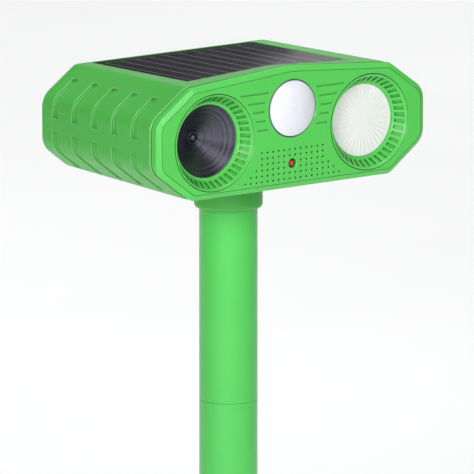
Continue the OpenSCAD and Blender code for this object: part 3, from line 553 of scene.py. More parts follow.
def hairline_group():
    """Faint scratches and smudges on something polished."""
    group, given, out = start_group(
        "Hairlines", [("Vector", "NodeSocketVector", None), ("Scale", "NodeSocketFloat", 300.0)],
        [("Scratch", "NodeSocketFloat"), ("Smudge", "NodeSocketFloat")])
    stretched = put(group, "ShaderNodeMapping", {"Vector": given["Vector"], "Scale": (1.0, 14.0, 14.0),
                                                 "Rotation": (0.3, 0.2, 0.5)}).outputs[0]
    lines = put(group, "ShaderNodeTexNoise", {"Vector": stretched, "Scale": given["Scale"],
                                              "Detail": 3.0}).outputs[0]
    smudge = put(group, "ShaderNodeTexNoise", {"Vector": given["Vector"], "Scale": 55.0,
                                               "Detail": 4.0, "Distortion": 1.2}).outputs[0]
    feed(group, out, {"Scratch": spread(group, lines, 0.56, 0.72), "Smudge": smudge})
    return group


GROUP_MAKERS = {"Moulded Skin": moulded_skin_group, "Lathe Marks": lathe_marks_group,
                "Hairlines": hairline_group}


def use_group(tree, name, inputs):
    """Places a shared effect, which is built the first time that it is used."""
    group = bpy.data.node_groups.get(name) or GROUP_MAKERS[name]()
    return put(tree, "ShaderNodeGroup", inputs, node_tree=group).outputs


def grey(level, blue=0.0):
    """A grey, with a little more blue if wanted."""
    return (level, level, level + blue, 1.0)


def toned(colour, *shares):
    """Colour made lighter or darker, by one share or by one for each of red, green and blue."""
    red, green, blue = shares * 3 if len(shares) == 1 else shares
    return (min(1.0, colour[0] * red), min(1.0, colour[1] * green), min(1.0, colour[2] * blue), 1.0)


def new_finish(name):
    """An empty material with its surface shader and the piece's own coordinates."""
    material = bpy.data.materials.new(name)
    material.use_nodes = True
    tree = material.node_tree
    surface = tree.nodes["Principled BSDF"]
    where = put(tree, "ShaderNodeTexCoord").outputs["Object"]
    return material, tree, surface, where


def raise_bumps(tree, surface, height, strength, distance):
    """Turns a height into relief on the surface."""
    bump = put(tree, "ShaderNodeBump", {"Height": height, "Strength": strength, "Distance": distance})
    feed(tree, surface, {"Normal": bump.outputs[0]})


def moulded(name, colour, roughness=0.4, grain=2200.0, bump=0.12, mottle=0.1, edge_wear_and_highlight=0.3, coat=0.0,
            glow=0.0, soft=0.0):
    """Moulded plastic or rubber."""
    material, tree, surface, where = new_finish(name)
    skin = use_group(tree, "Moulded Skin", {"Vector": where, "Colour": colour, "Grain Scale": grain,
                                            "Mottle": mottle, "Edge Wear": edge_wear_and_highlight})
    feed(tree, surface, {"Base Color": skin["Colour"], "Coat Weight": coat, "Coat Roughness": 0.12,
                         "Roughness": calc(tree, "ADD", skin["Gloss Shift"], roughness)})
    raise_bumps(tree, surface, skin["Height"], bump, 0.00006)
    if soft:
        feed(tree, surface, {"Subsurface Weight": soft, "Subsurface Scale": 1.0,
                             "Subsurface Radius": (0.001, 0.001, 0.001)})
    if glow:
        feed(tree, surface, {"Emission Color": skin["Colour"], "Emission Strength": glow})
    return material


def metal(name, colour, roughness=0.3, scale=400.0, bump=0.05):
    """Bare metal with faint scratches and smudges."""
    material, tree, surface, where = new_finish(name)
    marks = use_group(tree, "Hairlines", {"Vector": where, "Scale": scale})
    dull = toned(colour, 0.72)
    gloss = calc(tree, "ADD", calc(tree, "MULTIPLY", marks["Smudge"], 0.18), roughness - 0.09)
    feed(tree, surface, {
        "Base Color": mix_colour(tree, spread(tree, marks["Smudge"], 0.3, 0.7), dull, colour),
        "Roughness": calc(tree, "ADD", gloss, calc(tree, "MULTIPLY", marks["Scratch"], 0.12)),
        "Metallic": 1.0})
    raise_bumps(tree, surface, marks["Scratch"], bump, 0.00003)
    return material


def horn_finish(name):
    """Black speaker cone with turned rings, which catch the light in sectors."""
    material, tree, surface, where = new_finish(name)
    rings = sizes("rings")
    centre = HEAD + Vector((-rings.across, 0, rings.height)) * MM
    local = put(tree, "ShaderNodeMapping", {"Vector": where, "Location": tuple(-centre)}).outputs[0]
    marks = use_group(tree, "Lathe Marks", {"Vector": local, "Pitch": 0.00032})
    base = colour_of("horn")
    feed(tree, surface, {
        "Base Color": mix_colour(tree, spread(tree, marks["Band"], 0.3, 0.7), toned(base, 0.6), base),
        "Roughness": spread(tree, marks["Band"], 0.2, 0.8, 0.24, 0.34),
        "Metallic": 0.9, "Anisotropic": 0.75,
        "Tangent": put(tree, "ShaderNodeTangent", direction_type="RADIAL", axis="Y").outputs[0]})
    raise_bumps(tree, surface, marks["Height"], 0.12, 0.00004)
    return material


def cell_finish(name):
    """Near-black silicon with fine collector lines across each strip."""
    material, tree, surface, where = new_finish(name)
    parts = put(tree, "ShaderNodeSeparateXYZ", {0: where}).outputs
    finger = calc(tree, "LESS_THAN", calc(tree, "PINGPONG", parts["Y"], 0.0009), 0.00006)
    cloud = put(tree, "ShaderNodeTexNoise", {"Vector": where, "Scale": 70.0, "Detail": 3.0}).outputs[0]
    base = colour_of("cell")
    silicon = mix_colour(tree, spread(tree, cloud, 0.35, 0.75), base, toned(base, 1.6, 1.8, 2.2))
    feed(tree, surface, {
        "Base Color": mix_colour(tree, calc(tree, "MULTIPLY", finger, 0.1), silicon, grey(0.1, 0.02)),
        "Roughness": spread(tree, cloud, 0.2, 0.8, 0.5, 0.62), "Specular IOR Level": 0.08})
    raise_bumps(tree, surface, finger, 0.2, 0.00002)
    return material


def panel_glass_finish(name):
    """Clear hard resin over the cells: mostly see-through, with its gloss kept."""
    material, tree, surface, where = new_finish(name)
    marks = use_group(tree, "Hairlines", {"Vector": where, "Scale": 200.0})
    feed(tree, surface, {
        "Base Color": mix_colour(tree, marks["Smudge"], grey(0.006, 0.006), grey(0.014, 0.01)),
        "Roughness": spread(tree, marks["Smudge"], 0.3, 0.8, 0.05, 0.11),
        "Alpha": spread(tree, marks["Smudge"], 0.2, 0.8, 0.30, 0.38), "Specular IOR Level": 0.5})
    raise_bumps(tree, surface, marks["Scratch"], 0.01, 0.00001)
    return material


def board_finish(name):
    """Circuit board: solder mask over copper tracks, with bare pads."""
    material, tree, surface, where = new_finish(name)
    base = colour_of("board")
    tracks = put(tree, "ShaderNodeTexBrick", {"Vector": where, "Scale": 240.0, "Mortar Size": 0.08,
                                              "Color1": grey(0), "Color2": grey(0), "Mortar": grey(1)})
    pads = put(tree, "ShaderNodeTexVoronoi", {"Vector": where, "Scale": 420.0}).outputs["Distance"]
    bare = calc(tree, "LESS_THAN", pads, 0.16)
    masked = mix_colour(tree, tracks.outputs["Fac"], base, toned(base, 1.7))
    feed(tree, surface, {"Base Color": mix_colour(tree, bare, masked, (0.72, 0.68, 0.58, 1)),
                         "Roughness": spread(tree, bare, 0, 1, 0.38, 0.25), "Metallic": bare})
    raise_bumps(tree, surface, tracks.outputs["Fac"], 0.3, 0.00004)
    return material


def floor_finish(name):
    """Matt pale floor with a faint cloud in its tone."""
    material, tree, surface, where = new_finish(name)
    cloud = put(tree, "ShaderNodeTexNoise", {"Vector": where, "Scale": 2.5, "Detail": 4.0}).outputs[0]
    feed(tree, surface, {"Base Color": mix_colour(tree, cloud, grey(0.80), grey(0.86)),
                         "Roughness": spread(tree, cloud, 0.2, 0.8, 0.7, 0.8)})
    return material


FINISHES = {
    "cover_green": lambda n: moulded(n, colour_of("cover"), 0.36, 2400.0, 0.10, 0.07, 0.3, coat=0.08),
    # The housing's strong edge paling is mostly a painted highlight along its groove edges.
    "housing_green": lambda n: moulded(n, colour_of("housing"), 0.42, 2000.0, 0.16, 0.08, 0.9),
    "stake_green": lambda n: moulded(n, colour_of("stake"), 0.33, 2400.0, 0.07, 0.06, 0.3, coat=0.12),
    "seal_rubber": lambda n: moulded(n, grey(0.03), 0.72, 1500.0, 0.3, 0.2, 0.0),
    "speaker_black": horn_finish,
    "black_plastic": lambda n: moulded(n, colour_of("black"), 0.45, 1800.0, 0.2, 0.2, 0.4),
    "brass": lambda n: metal(n, (0.78, 0.56, 0.22, 1), 0.3),
    # Painted glow: the lamp window's emission stands in for sunlit glare on it.
    "lamp_white": lambda n: moulded(n, colour_of("lens"), 0.22, 900.0, 0.05, 0.05, 0.0, coat=0.6,
                                    glow=0.07, soft=0.15),
    "reflector_chrome": lambda n: metal(n, grey(0.9), 0.12),
    "lamp_board_aluminium": lambda n: metal(n, grey(0.8), 0.45),
    "emitter_yellow": lambda n: moulded(n, (0.95, 0.72, 0.12, 1), 0.35, 3000.0, 0.1, 0.1, 0.0,
                                        glow=0.3),
    "dome_white": lambda n: moulded(n, colour_of("dome"), 0.3, 1300.0, 0.08, 0.05, 0.0, coat=0.35,
                                    soft=0.2),
    "can_steel": lambda n: metal(n, grey(0.7), 0.28),
    "window_black": lambda n: moulded(n, grey(0.01), 0.12, 1000.0, 0.02, 0.1, 0.0, coat=1.0),
    "indicator_red": lambda n: moulded(n, colour_of("indicator"), 0.14, 900.0, 0.02, 0.1, 0.0,
                                       coat=1.0, glow=0.25),
    "board_green": board_finish,
    "capacitor_aluminium": lambda n: metal(n, grey(0.78), 0.35),
    "screw_steel": lambda n: metal(n, grey(0.62), 0.32, 700.0),
    "panel_backing": lambda n: moulded(n, colour_of("backing"), 0.5, 1500.0, 0.1, 0.08, 0.1),
    "solar_cell": cell_finish,
    "panel_glass": panel_glass_finish,
    "cell_blue": lambda n: moulded(n, colour_of("wrapper"), 0.3, 900.0, 0.05, 0.08, 0.2, coat=0.4),
    "pot_blue": lambda n: moulded(n, (0.03, 0.07, 0.3, 1), 0.4, 1800.0, 0.1, 0.1, 0.2),
    "knob_black": lambda n: moulded(n, colour_of("black"), 0.5, 1500.0, 0.3, 0.2, 0.6),
    "button_orange": lambda n: moulded(n, colour_of("button"), 0.42, 1700.0, 0.15, 0.1, 0.4),
    "lead_red": lambda n: moulded(n, (0.5, 0.02, 0.02, 1), 0.45, 1500.0, 0.08, 0.1, 0.0),
    "lead_black": lambda n: moulded(n, grey(0.02), 0.45, 1500.0, 0.08, 0.1, 0.0),
    "floor_pale": floor_finish,
}


def finish(name):
    """The named finish, made the first time that it is asked for."""
    title = name.replace("_", " ").capitalize()
    return bpy.data.materials.get(title) or FINISHES[name](title)


# ---- Housing ----

# How steeply a groove's wall drops: distance in from its edge, share of the full depth
GROOVE_WALL = ((0.0, 0.0), (0.07, 0.10), (0.16, 0.90), (0.34, 1.0))


def wall_share(distance):
    """Share of a groove's depth at a distance in from its edge."""
    if distance <= 0:
        return 0.0
    for (near, low), (far, high) in zip(GROOVE_WALL, GROOVE_WALL[1:]):
        if distance <= far:
            return low + (high - low) * (distance - near) / (far - near)
    return 1.0


def score(bm, point, normal):
    """Runs a line of edges round the whole mesh where a plane crosses it."""
    bmesh.ops.bisect_plane(bm, geom=bm.verts[:] + bm.edges[:] + bm.faces[:], dist=0.0002,
                           plane_co=point, plane_no=normal)


def upper_reach(head, y):
    """How far out the upper grooves start, from the middle."""
    return head.half_width - 11.2 - 0.036 * y


def lower_reach(head, y):
    """How far out the lower grooves start, from the middle."""
    return head.half_width - 14.9 - 0.02 * y


def groove_share(head, grooves, place):
    """Share of the groove depth at a point of the housing's skin."""
    across = abs(place.x)
    if place.z > (grooves.upper_end + grooves.lower_end) / 2:
        ends = wall_share(across - upper_reach(head, place.y)) * wall_share(place.z - grooves.upper_end)
    else:
        ends = wall_share(across - lower_reach(head, place.y)) * wall_share(grooves.lower_end - place.z)
    best = 0.0
    for k in range(grooves.count):
        rear = grooves.first + k * grooves.pitch
        inside = min(rear - place.y, place.y - (rear - grooves.width))
        best = max(best, wall_share(inside))
    return ends * best


def grooved_body(head, grooves):
    """Tapered tray of the housing with its side grooves pressed in."""
    bm = bmesh.new()
    edge = 0.3
    stations = [(head.rim, edge), (head.rim + edge, 0)]
    for k in range(4):
        turn = pi / 2 * k / 3
        stations.append((head.depth - head.rear_radius * (1 - sin(turn)),
                         head.rear_radius * (1 - cos(turn))))
    loft(bm, [at_depth(body_outline(head, y, d), y) for y, d in stations])
    for k in range(grooves.count):
        rear = grooves.first + k * grooves.pitch
        for distance, _ in GROOVE_WALL:
            score(bm, (0, rear - distance, 0), (0, 1, 0))
            score(bm, (0, rear - grooves.width + distance, 0), (0, 1, 0))
    for distance, _ in GROOVE_WALL:
        score(bm, (0, 0, grooves.upper_end + distance), (0, 0, 1))
        score(bm, (0, 0, grooves.lower_end - distance), (0, 0, 1))
        for side in (-1, 1):
            score(bm, (side * (upper_reach(head, 0) + distance), 0, 0), (side, 0.036, 0))
            score(bm, (side * (lower_reach(head, 0) + distance), 0, 0), (side, 0.02, 0))
    bm.normal_update()
    moves = []
    for vert in bm.verts:
        share = groove_share(head, grooves, vert.co)
        if share > 0:
            inward = Vector((-vert.normal.x, 0, -vert.normal.z)).normalized()
            moves.append((vert, inward * grooves.depth * share))
    for vert, move in moves:
        vert.co += move
    return bm


def roof_outline(half, ridge, low):
    """Outline of the peaked zone, with its feet sunk in the body."""
    return rounded([(half, low - 5), (half, low), (0, ridge, 60), (-half, low), (-half, low - 5)],
                   True, 12)


def gable(head, distance, front_half, rear_half, near, far):
    """The peaked zone between the front cover and the panel, or its hollow."""
    bm = bmesh.new()
    loft(bm, [at_depth(roof_outline(half, ridge_height(head, peak_at) - distance,
                                    top_height(head, y) - distance - 0.15), y)
              for half, peak_at, y in ((front_half, head.rim, near), (rear_half, far, far))])
    return bm


def top_frame(head):
    """The tilted plane of the head's top, with Y still back from the lip."""
    tilt = atan(TOP_FALL / (head.depth - head.rim))
    return (Matrix.Translation((0, head.rim, head.shoulder)) @ Matrix.Rotation(-tilt, 4, "X")
            @ Matrix.Translation((0, -head.rim, 0)))


def drilled(radius, front, back, flare, step=None):
    """Profile of a hole that opens backwards, with its rim chamfered; step adds a wider mouth."""
    profile = [(0, front), (radius, front)]
    if step:
        profile += [(radius, step[1]), (step[0], step[1])]
        radius = step[0]
    return profile + [(radius, back - flare), (radius + flare + 1, back + 1), (0, back + 1)]


# Places on the rear and inside, from the middle of the head: screws, dials, button, port
SCREWS = ((22.5, 14.5), (-22.5, 14.5), (20.5, -11.6), (-20.5, -11.6))
SCREW_SEAT = 24
DIAL_X = 42
DIAL_R = 10
BUTTON_Z = 8
PORT_Z = -3.5


def flared_slot(half_w, half_h, x, z, stations, radius=0.5):
    """A slot along Y; stations are (depth, how much wider than its size)."""
    bm = bmesh.new()
    loops = []
    for y, more in stations:
        w, h = half_w + more, half_h + more
        outline = rounded([(x - w, z - h, radius), (x + w, z - h, radius),
                           (x + w, z + h, radius), (x - w, z + h, radius)], True, 3)
        loops.append(at_depth(outline, y))
    loft(bm, loops)
    return bm


def stacked_tray(half_x, low_y, high_y, levels, radius, matrix):
    """An upright pocket; levels are (height, how much wider at the sides and rear)."""
    bm = bmesh.new()
    loft(bm, [at_height(rectangle(half_x + more, low_y, high_y + more, radius), z)
              for z, more in levels])
    bmesh.ops.transform(bm, matrix=matrix, verts=bm.verts)
    return bm


class REPELLER_OT_housing(Operator):
    """Models the rear housing with its grooves, panel tray, collar and rear recesses"""
    bl_idname = "repeller.housing"
    bl_label = "Rear Housing"

    def execute(self, context):
        head, panel, stake = sizes("head"), sizes("panel"), sizes("stake")
        top = top_frame(head)
        shell = grooved_body(head, sizes("grooves"))
        roof_half = head.half_width - head.shoulder_in
        shell = combine(shell, [gable(head, 0, roof_half - 1, panel.width / 2 + 2, head.rim,
                                      panel.start)], "UNION")
        cavity = bmesh.new()
        loft(cavity, [at_depth(body_outline(head, y, head.wall), y)
                      for y in (head.rim - 1, head.depth - head.wall)])
        hollow = gable(head, head.wall, roof_half - 5, panel.width / 2 - 4, head.rim - 1,
                       panel.start - head.wall)
        shell = combine(shell, [cavity, hollow], "DIFFERENCE")
        tray_half = panel.width / 2 + 0.15
        tray_end = panel.start + panel.depth + 0.3
        tray_block = box_solid((-tray_half - 1.6, panel.start - 1.6, -panel.recess - 1.8),
                               (tray_half + 1.6, head.depth - 0.6, -0.5), matrix=top)
        socket_top = -12.4
        collar = turned_solid(rounded([(0, -stake.collar_drop), (stake.collar, -stake.collar_drop, 2),
                                       (stake.collar, socket_top), (0, socket_top)], steps=6),
                              (0, STAKE_BACK), axis="Z")
        behind = head.depth - 1
        wells = merged([turned_solid([(0, SCREW_SEAT), (4, SCREW_SEAT), (4, behind), (0, behind)],
                                     place, 40) for place in SCREWS])
        pad = DIAL_R + 3.4
        pads = merged([turned_solid([(0, 82.8), (pad, 82.8), (pad, behind), (0, behind)],
                                    (side * DIAL_X, 0), 64) for side in (-1, 1)])
        shell = combine(shell, [tray_block, collar, wells, pads], "UNION")
        tray = stacked_tray(tray_half, panel.start, tray_end,
                            ((-panel.recess, 0), (-0.4, 0), (0.6, 1.0), (8, 1.0)), 0.8, top)
        bore = stake.radius - 0.24
        socket = turned_solid([(0, -14.4), (bore, -14.4), (bore, 0.5 - stake.collar_drop),
                               (bore + 1.5, -1 - stake.collar_drop), (0, -1 - stake.collar_drop)],
                              (0, STAKE_BACK), axis="Z")
        wire_hole = turned_solid([(0, 10), (2, 10), (2, 22.5), (0, 22.5)], (-12, 66), 32, "Z")
        back = head.depth
        # Screw holes and wells, then the dials' shaft holes and recesses, then the button's hole
        round_cuts = [turned_solid(drilled(1.6, 23, back, 0.3, (3.1, 26.4)), place, 40)
                      for place in SCREWS]
        round_cuts += [turned_solid(drilled(3.06, 81.8, back, 0.4, (DIAL_R + 0.4, 85)),
                                    (side * DIAL_X, 0), 96) for side in (-1, 1)]
        round_cuts.append(turned_solid(drilled(5.06, 84.8, back, 0.25), (0, BUTTON_Z), 64))
        port = flared_slot(6.2, 3.5, 0, PORT_Z, ((84.8, 0), (87.5, 0)))
        flap_seat = flared_slot(9.8, 5.3, 0, PORT_Z, ((87, 0), (back - 0.25, 0), (back + 1, 1.25)), 1.2)
        shell = combine(shell, [tray, wire_hole, socket, merged(round_cuts), flap_seat, port],
                        "DIFFERENCE")
        clean(shell)
        make_piece(shell, "housing_shell", "housing_green", "head", "rear_housing")
        return {"FINISHED"}


# ---- Front cover ----

# Sound holes: how many in each row, from the top, and their spacing
HOLE_COLUMNS = (12, 12, 12, 14, 16, 18)
HOLE_PITCH = 3.0
ROW_PITCH = 2.54
SENSOR_Z = 10.2
INDICATOR_Z = -13.9
# How far a cutting tool stands out of the face that it cuts
PROUD = 0.3


def front_hole(radius, front, back, flare):
    """Profile of a hole that opens forwards, with its rim chamfered."""
    return [(0, front - PROUD), (radius + flare + PROUD, front - PROUD), (radius, front + flare),
            (radius, back), (0, back)]


def sound_hole_places():
    """Middles of the sound holes, which leave room for the indicator."""
    for row, columns in enumerate(HOLE_COLUMNS):
        for column in range(columns):
            x, z = (column - (columns - 1) / 2) * HOLE_PITCH, -7.7 - row * ROW_PITCH
            if sqrt(x * x + (z - INDICATOR_Z) ** 2) > 3.1:
                yield x, z


def line_slots(rings, face):
    """The five decorative lines on each side, between the sensor's and a ring's circle."""
    slots = []
    for k in range(5):
        z = 2.2 + 4.03 * k
        inner = sqrt(15.2 ** 2 - (z - SENSOR_Z) ** 2)
        outer = rings.across - sqrt((rings.radius + 2.2) ** 2 - (z - rings.height) ** 2)
        for side in (-1, 1):
            slots.append(flared_slot((outer - inner) / 2, 0.4, side * (inner + outer) / 2, z,
                                     ((face + 0.6, -0.05), (face + 0.1, 0),
                                      (face - PROUD, PROUD + 0.1)), 0.2))
    return slots


class REPELLER_OT_front_cover(Operator):
    """Models the front cover: rim, bevel, fine line, ring seats, sensor hole and sound holes"""
    bl_idname = "repeller.front_cover"
    bl_label = "Front Cover"

    def execute(self, context):
        head, rings = sizes("head"), sizes("rings")
        face = -head.face_rise
        plate_back = face + head.plate
        section = ((head.wall, plate_back), (head.wall, head.rim), (0.95, head.rim), (0.7, 4.05),
                   (0.7, 0.65), (0.55, 0.4), (0.2, 0.4), (0.04, 0.3), (0, 0.05), (0.12, -0.1),
                   (0.35, -0.22), (1.8, -1.12), (1.98, face + 0.04), (2.14, face),
                   (2.2, face + 0.35), (2.5, face + 0.35), (2.62, face))
        cover = bmesh.new()
        loft(cover, [at_depth(front_outline(head, d), y) for d, y in section])
        bosses = merged([turned_solid([(0, 0.5), (2.9, 0.5), (2.9, SCREW_SEAT), (0, SCREW_SEAT)],
                                      place, 32) for place in SCREWS] +
                        [turned_solid([(0, 0.5), (2.4, 0.5), (2.4, 15), (0, 15)],
                                      (side * 14.5, -3.5), 32) for side in (-1, 1)])
        cover = combine(cover, [bosses], "UNION")
        seat, sleeve = rings.radius + 0.3, rings.radius - 0.45
        ring_cut = [(0, face - PROUD), (seat + 0.2 + PROUD, face - PROUD), (seat, face + 0.2),
                    (seat, 0.3), (sleeve, 0.3), (sleeve, plate_back + 1), (0, plate_back + 1)]
        cuts = [turned_solid(ring_cut, (side * rings.across, rings.height), 128) for side in (-1, 1)]
        cuts.append(turned_solid(front_hole(12.7, face, plate_back + 1, 0.35), (0, SENSOR_Z), 96))
        cuts.append(turned_solid(front_hole(2.1, face, plate_back + 1, 0.3), (0, INDICATOR_Z), 40))
        cuts += [turned_solid(front_hole(0.5, face, plate_back + 1, 0.1), place, 12)
                 for place in sound_hole_places()]
        cover = combine(cover, [merged(cuts), merged(line_slots(rings, face))], "DIFFERENCE")
        clean(cover)
        make_piece(cover, "front_shell", "cover_green", "head", "front_cover", crease=28)
        return {"FINISHED"}


# ---- Ribbed rings ----

RING_STEPS_PER_RIB = 5


def ribbed_ring(rings, face, side):
    """One ring insert: a shallow cone with blind pockets between its ribs."""
    centre = (side * rings.across, rings.height)
    inner = Vector((rings.bore + 0.85, face + rings.depth))
    outer = Vector((rings.radius - 0.7, face + 0.3))
    low, high = inner.lerp(outer, 0.13), inner.lerp(outer, 0.87)
    inner_back = face + rings.depth + 0.8
    profile = rounded([(rings.bore, inner[1], 0.2), (inner[0], inner[1], 0.2), tuple(low), tuple(high),
                       (outer[0], outer[1]), (rings.radius - 0.45, face - 0.15, 0.1),
                       (rings.radius - 0.12, face - 0.15, 0.1), (rings.radius, face + 0.05),
                       (rings.radius, 0.3), (rings.radius - 0.55, 0.3), (rings.radius - 0.55, 9.5),
                       (rings.bore + 2.25, 9.5), (rings.bore + 2.25, inner_back),
                       (rings.bore, inner_back)], True, 3)
    steps = rings.ribs * RING_STEPS_PER_RIB
    bm = turned_solid(profile, centre, steps, closed=True)
    pockets = []
    for face_made in bm.faces:
        middle = face_made.calc_center_median()
        x, z = middle.x - centre[0], middle.z - centre[1]
        radius = sqrt(x * x + z * z)
        index = int((atan2(z, x) % tau) / tau * steps)
        on_cone = low[0] < radius < high[0] and high[1] < middle.y < low[1]
        if on_cone and index % RING_STEPS_PER_RIB < 3:
            pockets.append(face_made)
    bm.normal_update()
    bmesh.ops.inset_region(bm, faces=pockets, thickness=0.05, depth=-rings.pocket,
                           use_boundary=True, use_even_offset=True)
    return bm


class REPELLER_OT_rings(Operator):
    """Models the ribbed rings round the speaker and the lamp"""
    bl_idname = "repeller.rings"
    bl_label = "Ribbed Rings"

    def execute(self, context):
        rings, face = sizes("rings"), -sizes("head").face_rise
        make_piece(ribbed_ring(rings, face, -1), "speaker_surround", "cover_green", "head",
                   "speaker_ring", crease=40)
        make_piece(ribbed_ring(rings, face, 1), "lamp_surround", "cover_green", "head",
                   "lamp_ring", crease=40)
        return {"FINISHED"}


# ---- Speaker ----

class REPELLER_OT_speaker(Operator):
    """Models the speaker's turned cone and its small dome"""
    bl_idname = "repeller.speaker"
    bl_label = "Speaker"

    def execute(self, context):
        rings, face = sizes("rings"), -sizes("head").face_rise
        centre = (-rings.across, rings.height)
        seat = face + rings.depth + 0.8
        mouth, flange, apex = rings.bore - 0.15, rings.bore + 2.15, 1.9
        bottom = seat + 10.1
        profile = rounded([(0, bottom + 1), (apex + 0.3, bottom + 1), (apex + 0.3, bottom + 0.5),
                           (mouth - 0.7, seat + 1.2), (flange, seat + 1.2), (flange, seat),
                           (mouth, seat, 0.3), (apex + 1.0, bottom - 0.72),
                           (apex + 0.75, bottom - 1.15, 0.12), (apex + 0.2, bottom - 1.0, 0.12),
                           (apex, bottom), (0, bottom)], steps=4)
        make_piece(turned_solid(profile, centre, 144), "horn_cone", "speaker_black", "head",
                   "speaker_cone", crease=50)
        cap = [(0, bottom - apex)] + [(apex * sin(pi / 2 * k / 8), bottom - apex * cos(pi / 2 * k / 8))
                                      for k in range(1, 9)] + [(0, bottom)]
        make_piece(turned_solid(cap, centre, 48), "horn_dome", "speaker_black", "head",
                   "speaker_dome", crease=50)
        return {"FINISHED"}


# ---- Lamp ----

class REPELLER_OT_lamp(Operator):
    """Models the lamp's slightly domed window with its radial flutes"""
    bl_idname = "repeller.lamp"
    bl_label = "Lamp Window"

    flutes: IntProperty(name="Flutes", description="Radial flutes round the window", default=36, min=8)

    def execute(self, context):
        rings, face = sizes("rings"), -sizes("head").face_rise
        centre = (rings.across, rings.height)
        seat = face + rings.depth + 0.8
        radius, bulge = rings.bore - 0.15, 0.5
        ball = (radius * radius + bulge * bulge) / (2 * bulge)
        front = face + rings.depth + 0.2
        crown = [(radius * k / 12, front + ball - bulge - sqrt(ball ** 2 - (radius * k / 12) ** 2))
                 for k in range(13)]
        profile = crown + [(radius, seat), (rings.bore + 2.15, seat), (rings.bore + 2.15, seat + 1.2),
                           (0, seat + 1.2)]
        bm = turned_solid(profile, centre, self.flutes * 4)
        for vert in bm.verts:
            x, z = vert.co.x - centre[0], vert.co.z - centre[1]
            out = sqrt(x * x + z * z) / radius
            if vert.co.y < front + 0.05 and 0.25 < out < 0.97:
                ramp = min(1.0, (out - 0.25) / 0.35)
                vert.co.y += 0.09 * ramp * (1 + cos(self.flutes * atan2(z, x)))
        make_piece(bm, "lamp_window", "lamp_white", "head", "lamp_lens", crease=40)
        return {"FINISHED"}


# ---- Motion sensor ----

class REPELLER_OT_sensor_dome(Operator):
    """Models the faceted white dome over the motion sensor"""
    bl_idname = "repeller.sensor_dome"
    bl_label = "Sensor Dome"

    def execute(self, context):
        face = -sizes("head").face_rise
        plate_back = face + sizes("head").plate
        radius, rise, wall = 12.15, 3.5, 0.8
        ball = (radius * radius + rise * rise) / (2 * rise)

        def crown(r, thickness=0.0):
            """Depth of the dome's skin at a radius, or of its inner face."""
            return face - rise + ball - sqrt((ball - thickness) ** 2 - r * r)

        rims = [0, 1.6, 3.2, 4.8, 6.4, 8.0, 9.6, 10.8, 11.7]
        inside = radius - wall
        profile = ([(r, crown(r)) for r in rims] +
                   rounded([(rims[-1], crown(rims[-1])), (radius, crown(radius), 0.15),
                            (radius, plate_back)], steps=3)[1:] +
                   [(radius + 2.05, plate_back), (radius + 2.05, plate_back + 1),
                    (inside, plate_back + 1)] +
                   [(inside * k / 5, crown(inside * k / 5, wall)) for k in range(5, -1, -1)])
        bm = turned_solid(profile, (0, SENSOR_Z), 72)
        facets = {}
        for made in bm.faces:
            middle = made.calc_center_median()
            x, z = middle.x, middle.z - SENSOR_Z
            out = sqrt(x * x + z * z)
            if out < rims[7] and middle.y < crown(out) + 0.3 and out > rims[1]:
                band = int((out - rims[1]) / 3.2)
                sector = int((atan2(z, x) % tau) / tau * (12, 18, 24)[min(band, 2)])
                facets.setdefault((band, sector), []).append(made)
        bm.normal_update()
        for patch in facets.values():
            bmesh.ops.inset_region(bm, faces=patch, thickness=0.07, depth=0.035, use_boundary=True,
                                   use_even_offset=True)
        make_piece(bm, "sensor_dome", "dome_white", "head", "pir_lens", crease=35)
        return {"FINISHED"}


# ---- Solar panel ----

class REPELLER_OT_solar_panel(Operator):
    """Models the strips of solar cell and the clear sheet over them"""
    bl_idname = "repeller.solar_panel"
    bl_label = "Solar Panel"

    def execute(self, context):
        head, panel = sizes("head"), sizes("panel")
        top = top_frame(head)
        start, end = panel.start + 0.15, panel.start + 0.15 + panel.depth
        low = -panel.recess + 1.65
        pitch = panel.width / panel.strips
        strips = []
        for k in range(panel.strips):
            x = (k - (panel.strips - 1) / 2) * pitch
            half = (pitch - panel.gap) / 2
            strips.append(box_solid((x - half, start + 0.7, low), (x + half, end - 0.7, low + 0.3),
                                    0.08, top))
        make_piece(merged(strips), "cell_strips", "solar_cell", "head", "solar_cells")
        seams = []
        for k in range(panel.strips + 1):
            x = (k - panel.strips / 2) * pitch
            half = panel.gap / 2 - 0.09
            if k in (0, panel.strips):
                x -= copysign(0.14, x)
                half = 0.1
            seams.append(box_solid((x - half, start + 0.3, low), (x + half, end - 0.3, low + 0.33),
                                   matrix=top))
        for y in (start + 0.4, end - 0.4):
            seams.append(box_solid((-panel.width / 2 + 0.3, y - 0.12, low),
                                   (panel.width / 2 - 0.3, y + 0.12, low + 0.3), matrix=top))
        make_piece(merged(seams), "cell_seams", "panel_backing", "head")
        sheet = box_solid((-panel.width / 2, start, -1.25), (panel.width / 2, end, -0.25), 0.2, top)
        make_piece(sheet, "panel_sheet", "panel_glass", "head", "solar_cover")
        return {"FINISHED"}


# ---- Stake ----

TUBE_WALL = 1.6
TUBE_TOP = 140.55
# The turned-down top of the tube, which the head swivels on
JOURNAL_FOOT = 114.7
JOURNAL_STEP = 0.3


def spike_fin(stake, turn):
    """One cross fin of the spike, with its edges thinned."""
    reach = stake.radius - 0.8
    outline = [(-reach, -7, 0.7), (-reach, -14, 2), (-stake.fin / 2, 4 - stake.spike, 0.7),
               (0, -stake.spike, 0.7), (stake.fin / 2, 4 - stake.spike, 0.7), (reach, -14, 2),
               (reach, -7, 0.7)]
    bm = bmesh.new()
    half, thin = stake.fin / 2, 0.45
    loft(bm, [at_depth(rounded(inset(outline, d), True, 3), y)
              for y, d in ((-half, thin), (thin - half, 0), (half - thin, 0), (half, thin))])
    bmesh.ops.rotate(bm, cent=(0, 0, 0), matrix=Matrix.Rotation(turn, 3, "Z"), verts=bm.verts)
    return bm


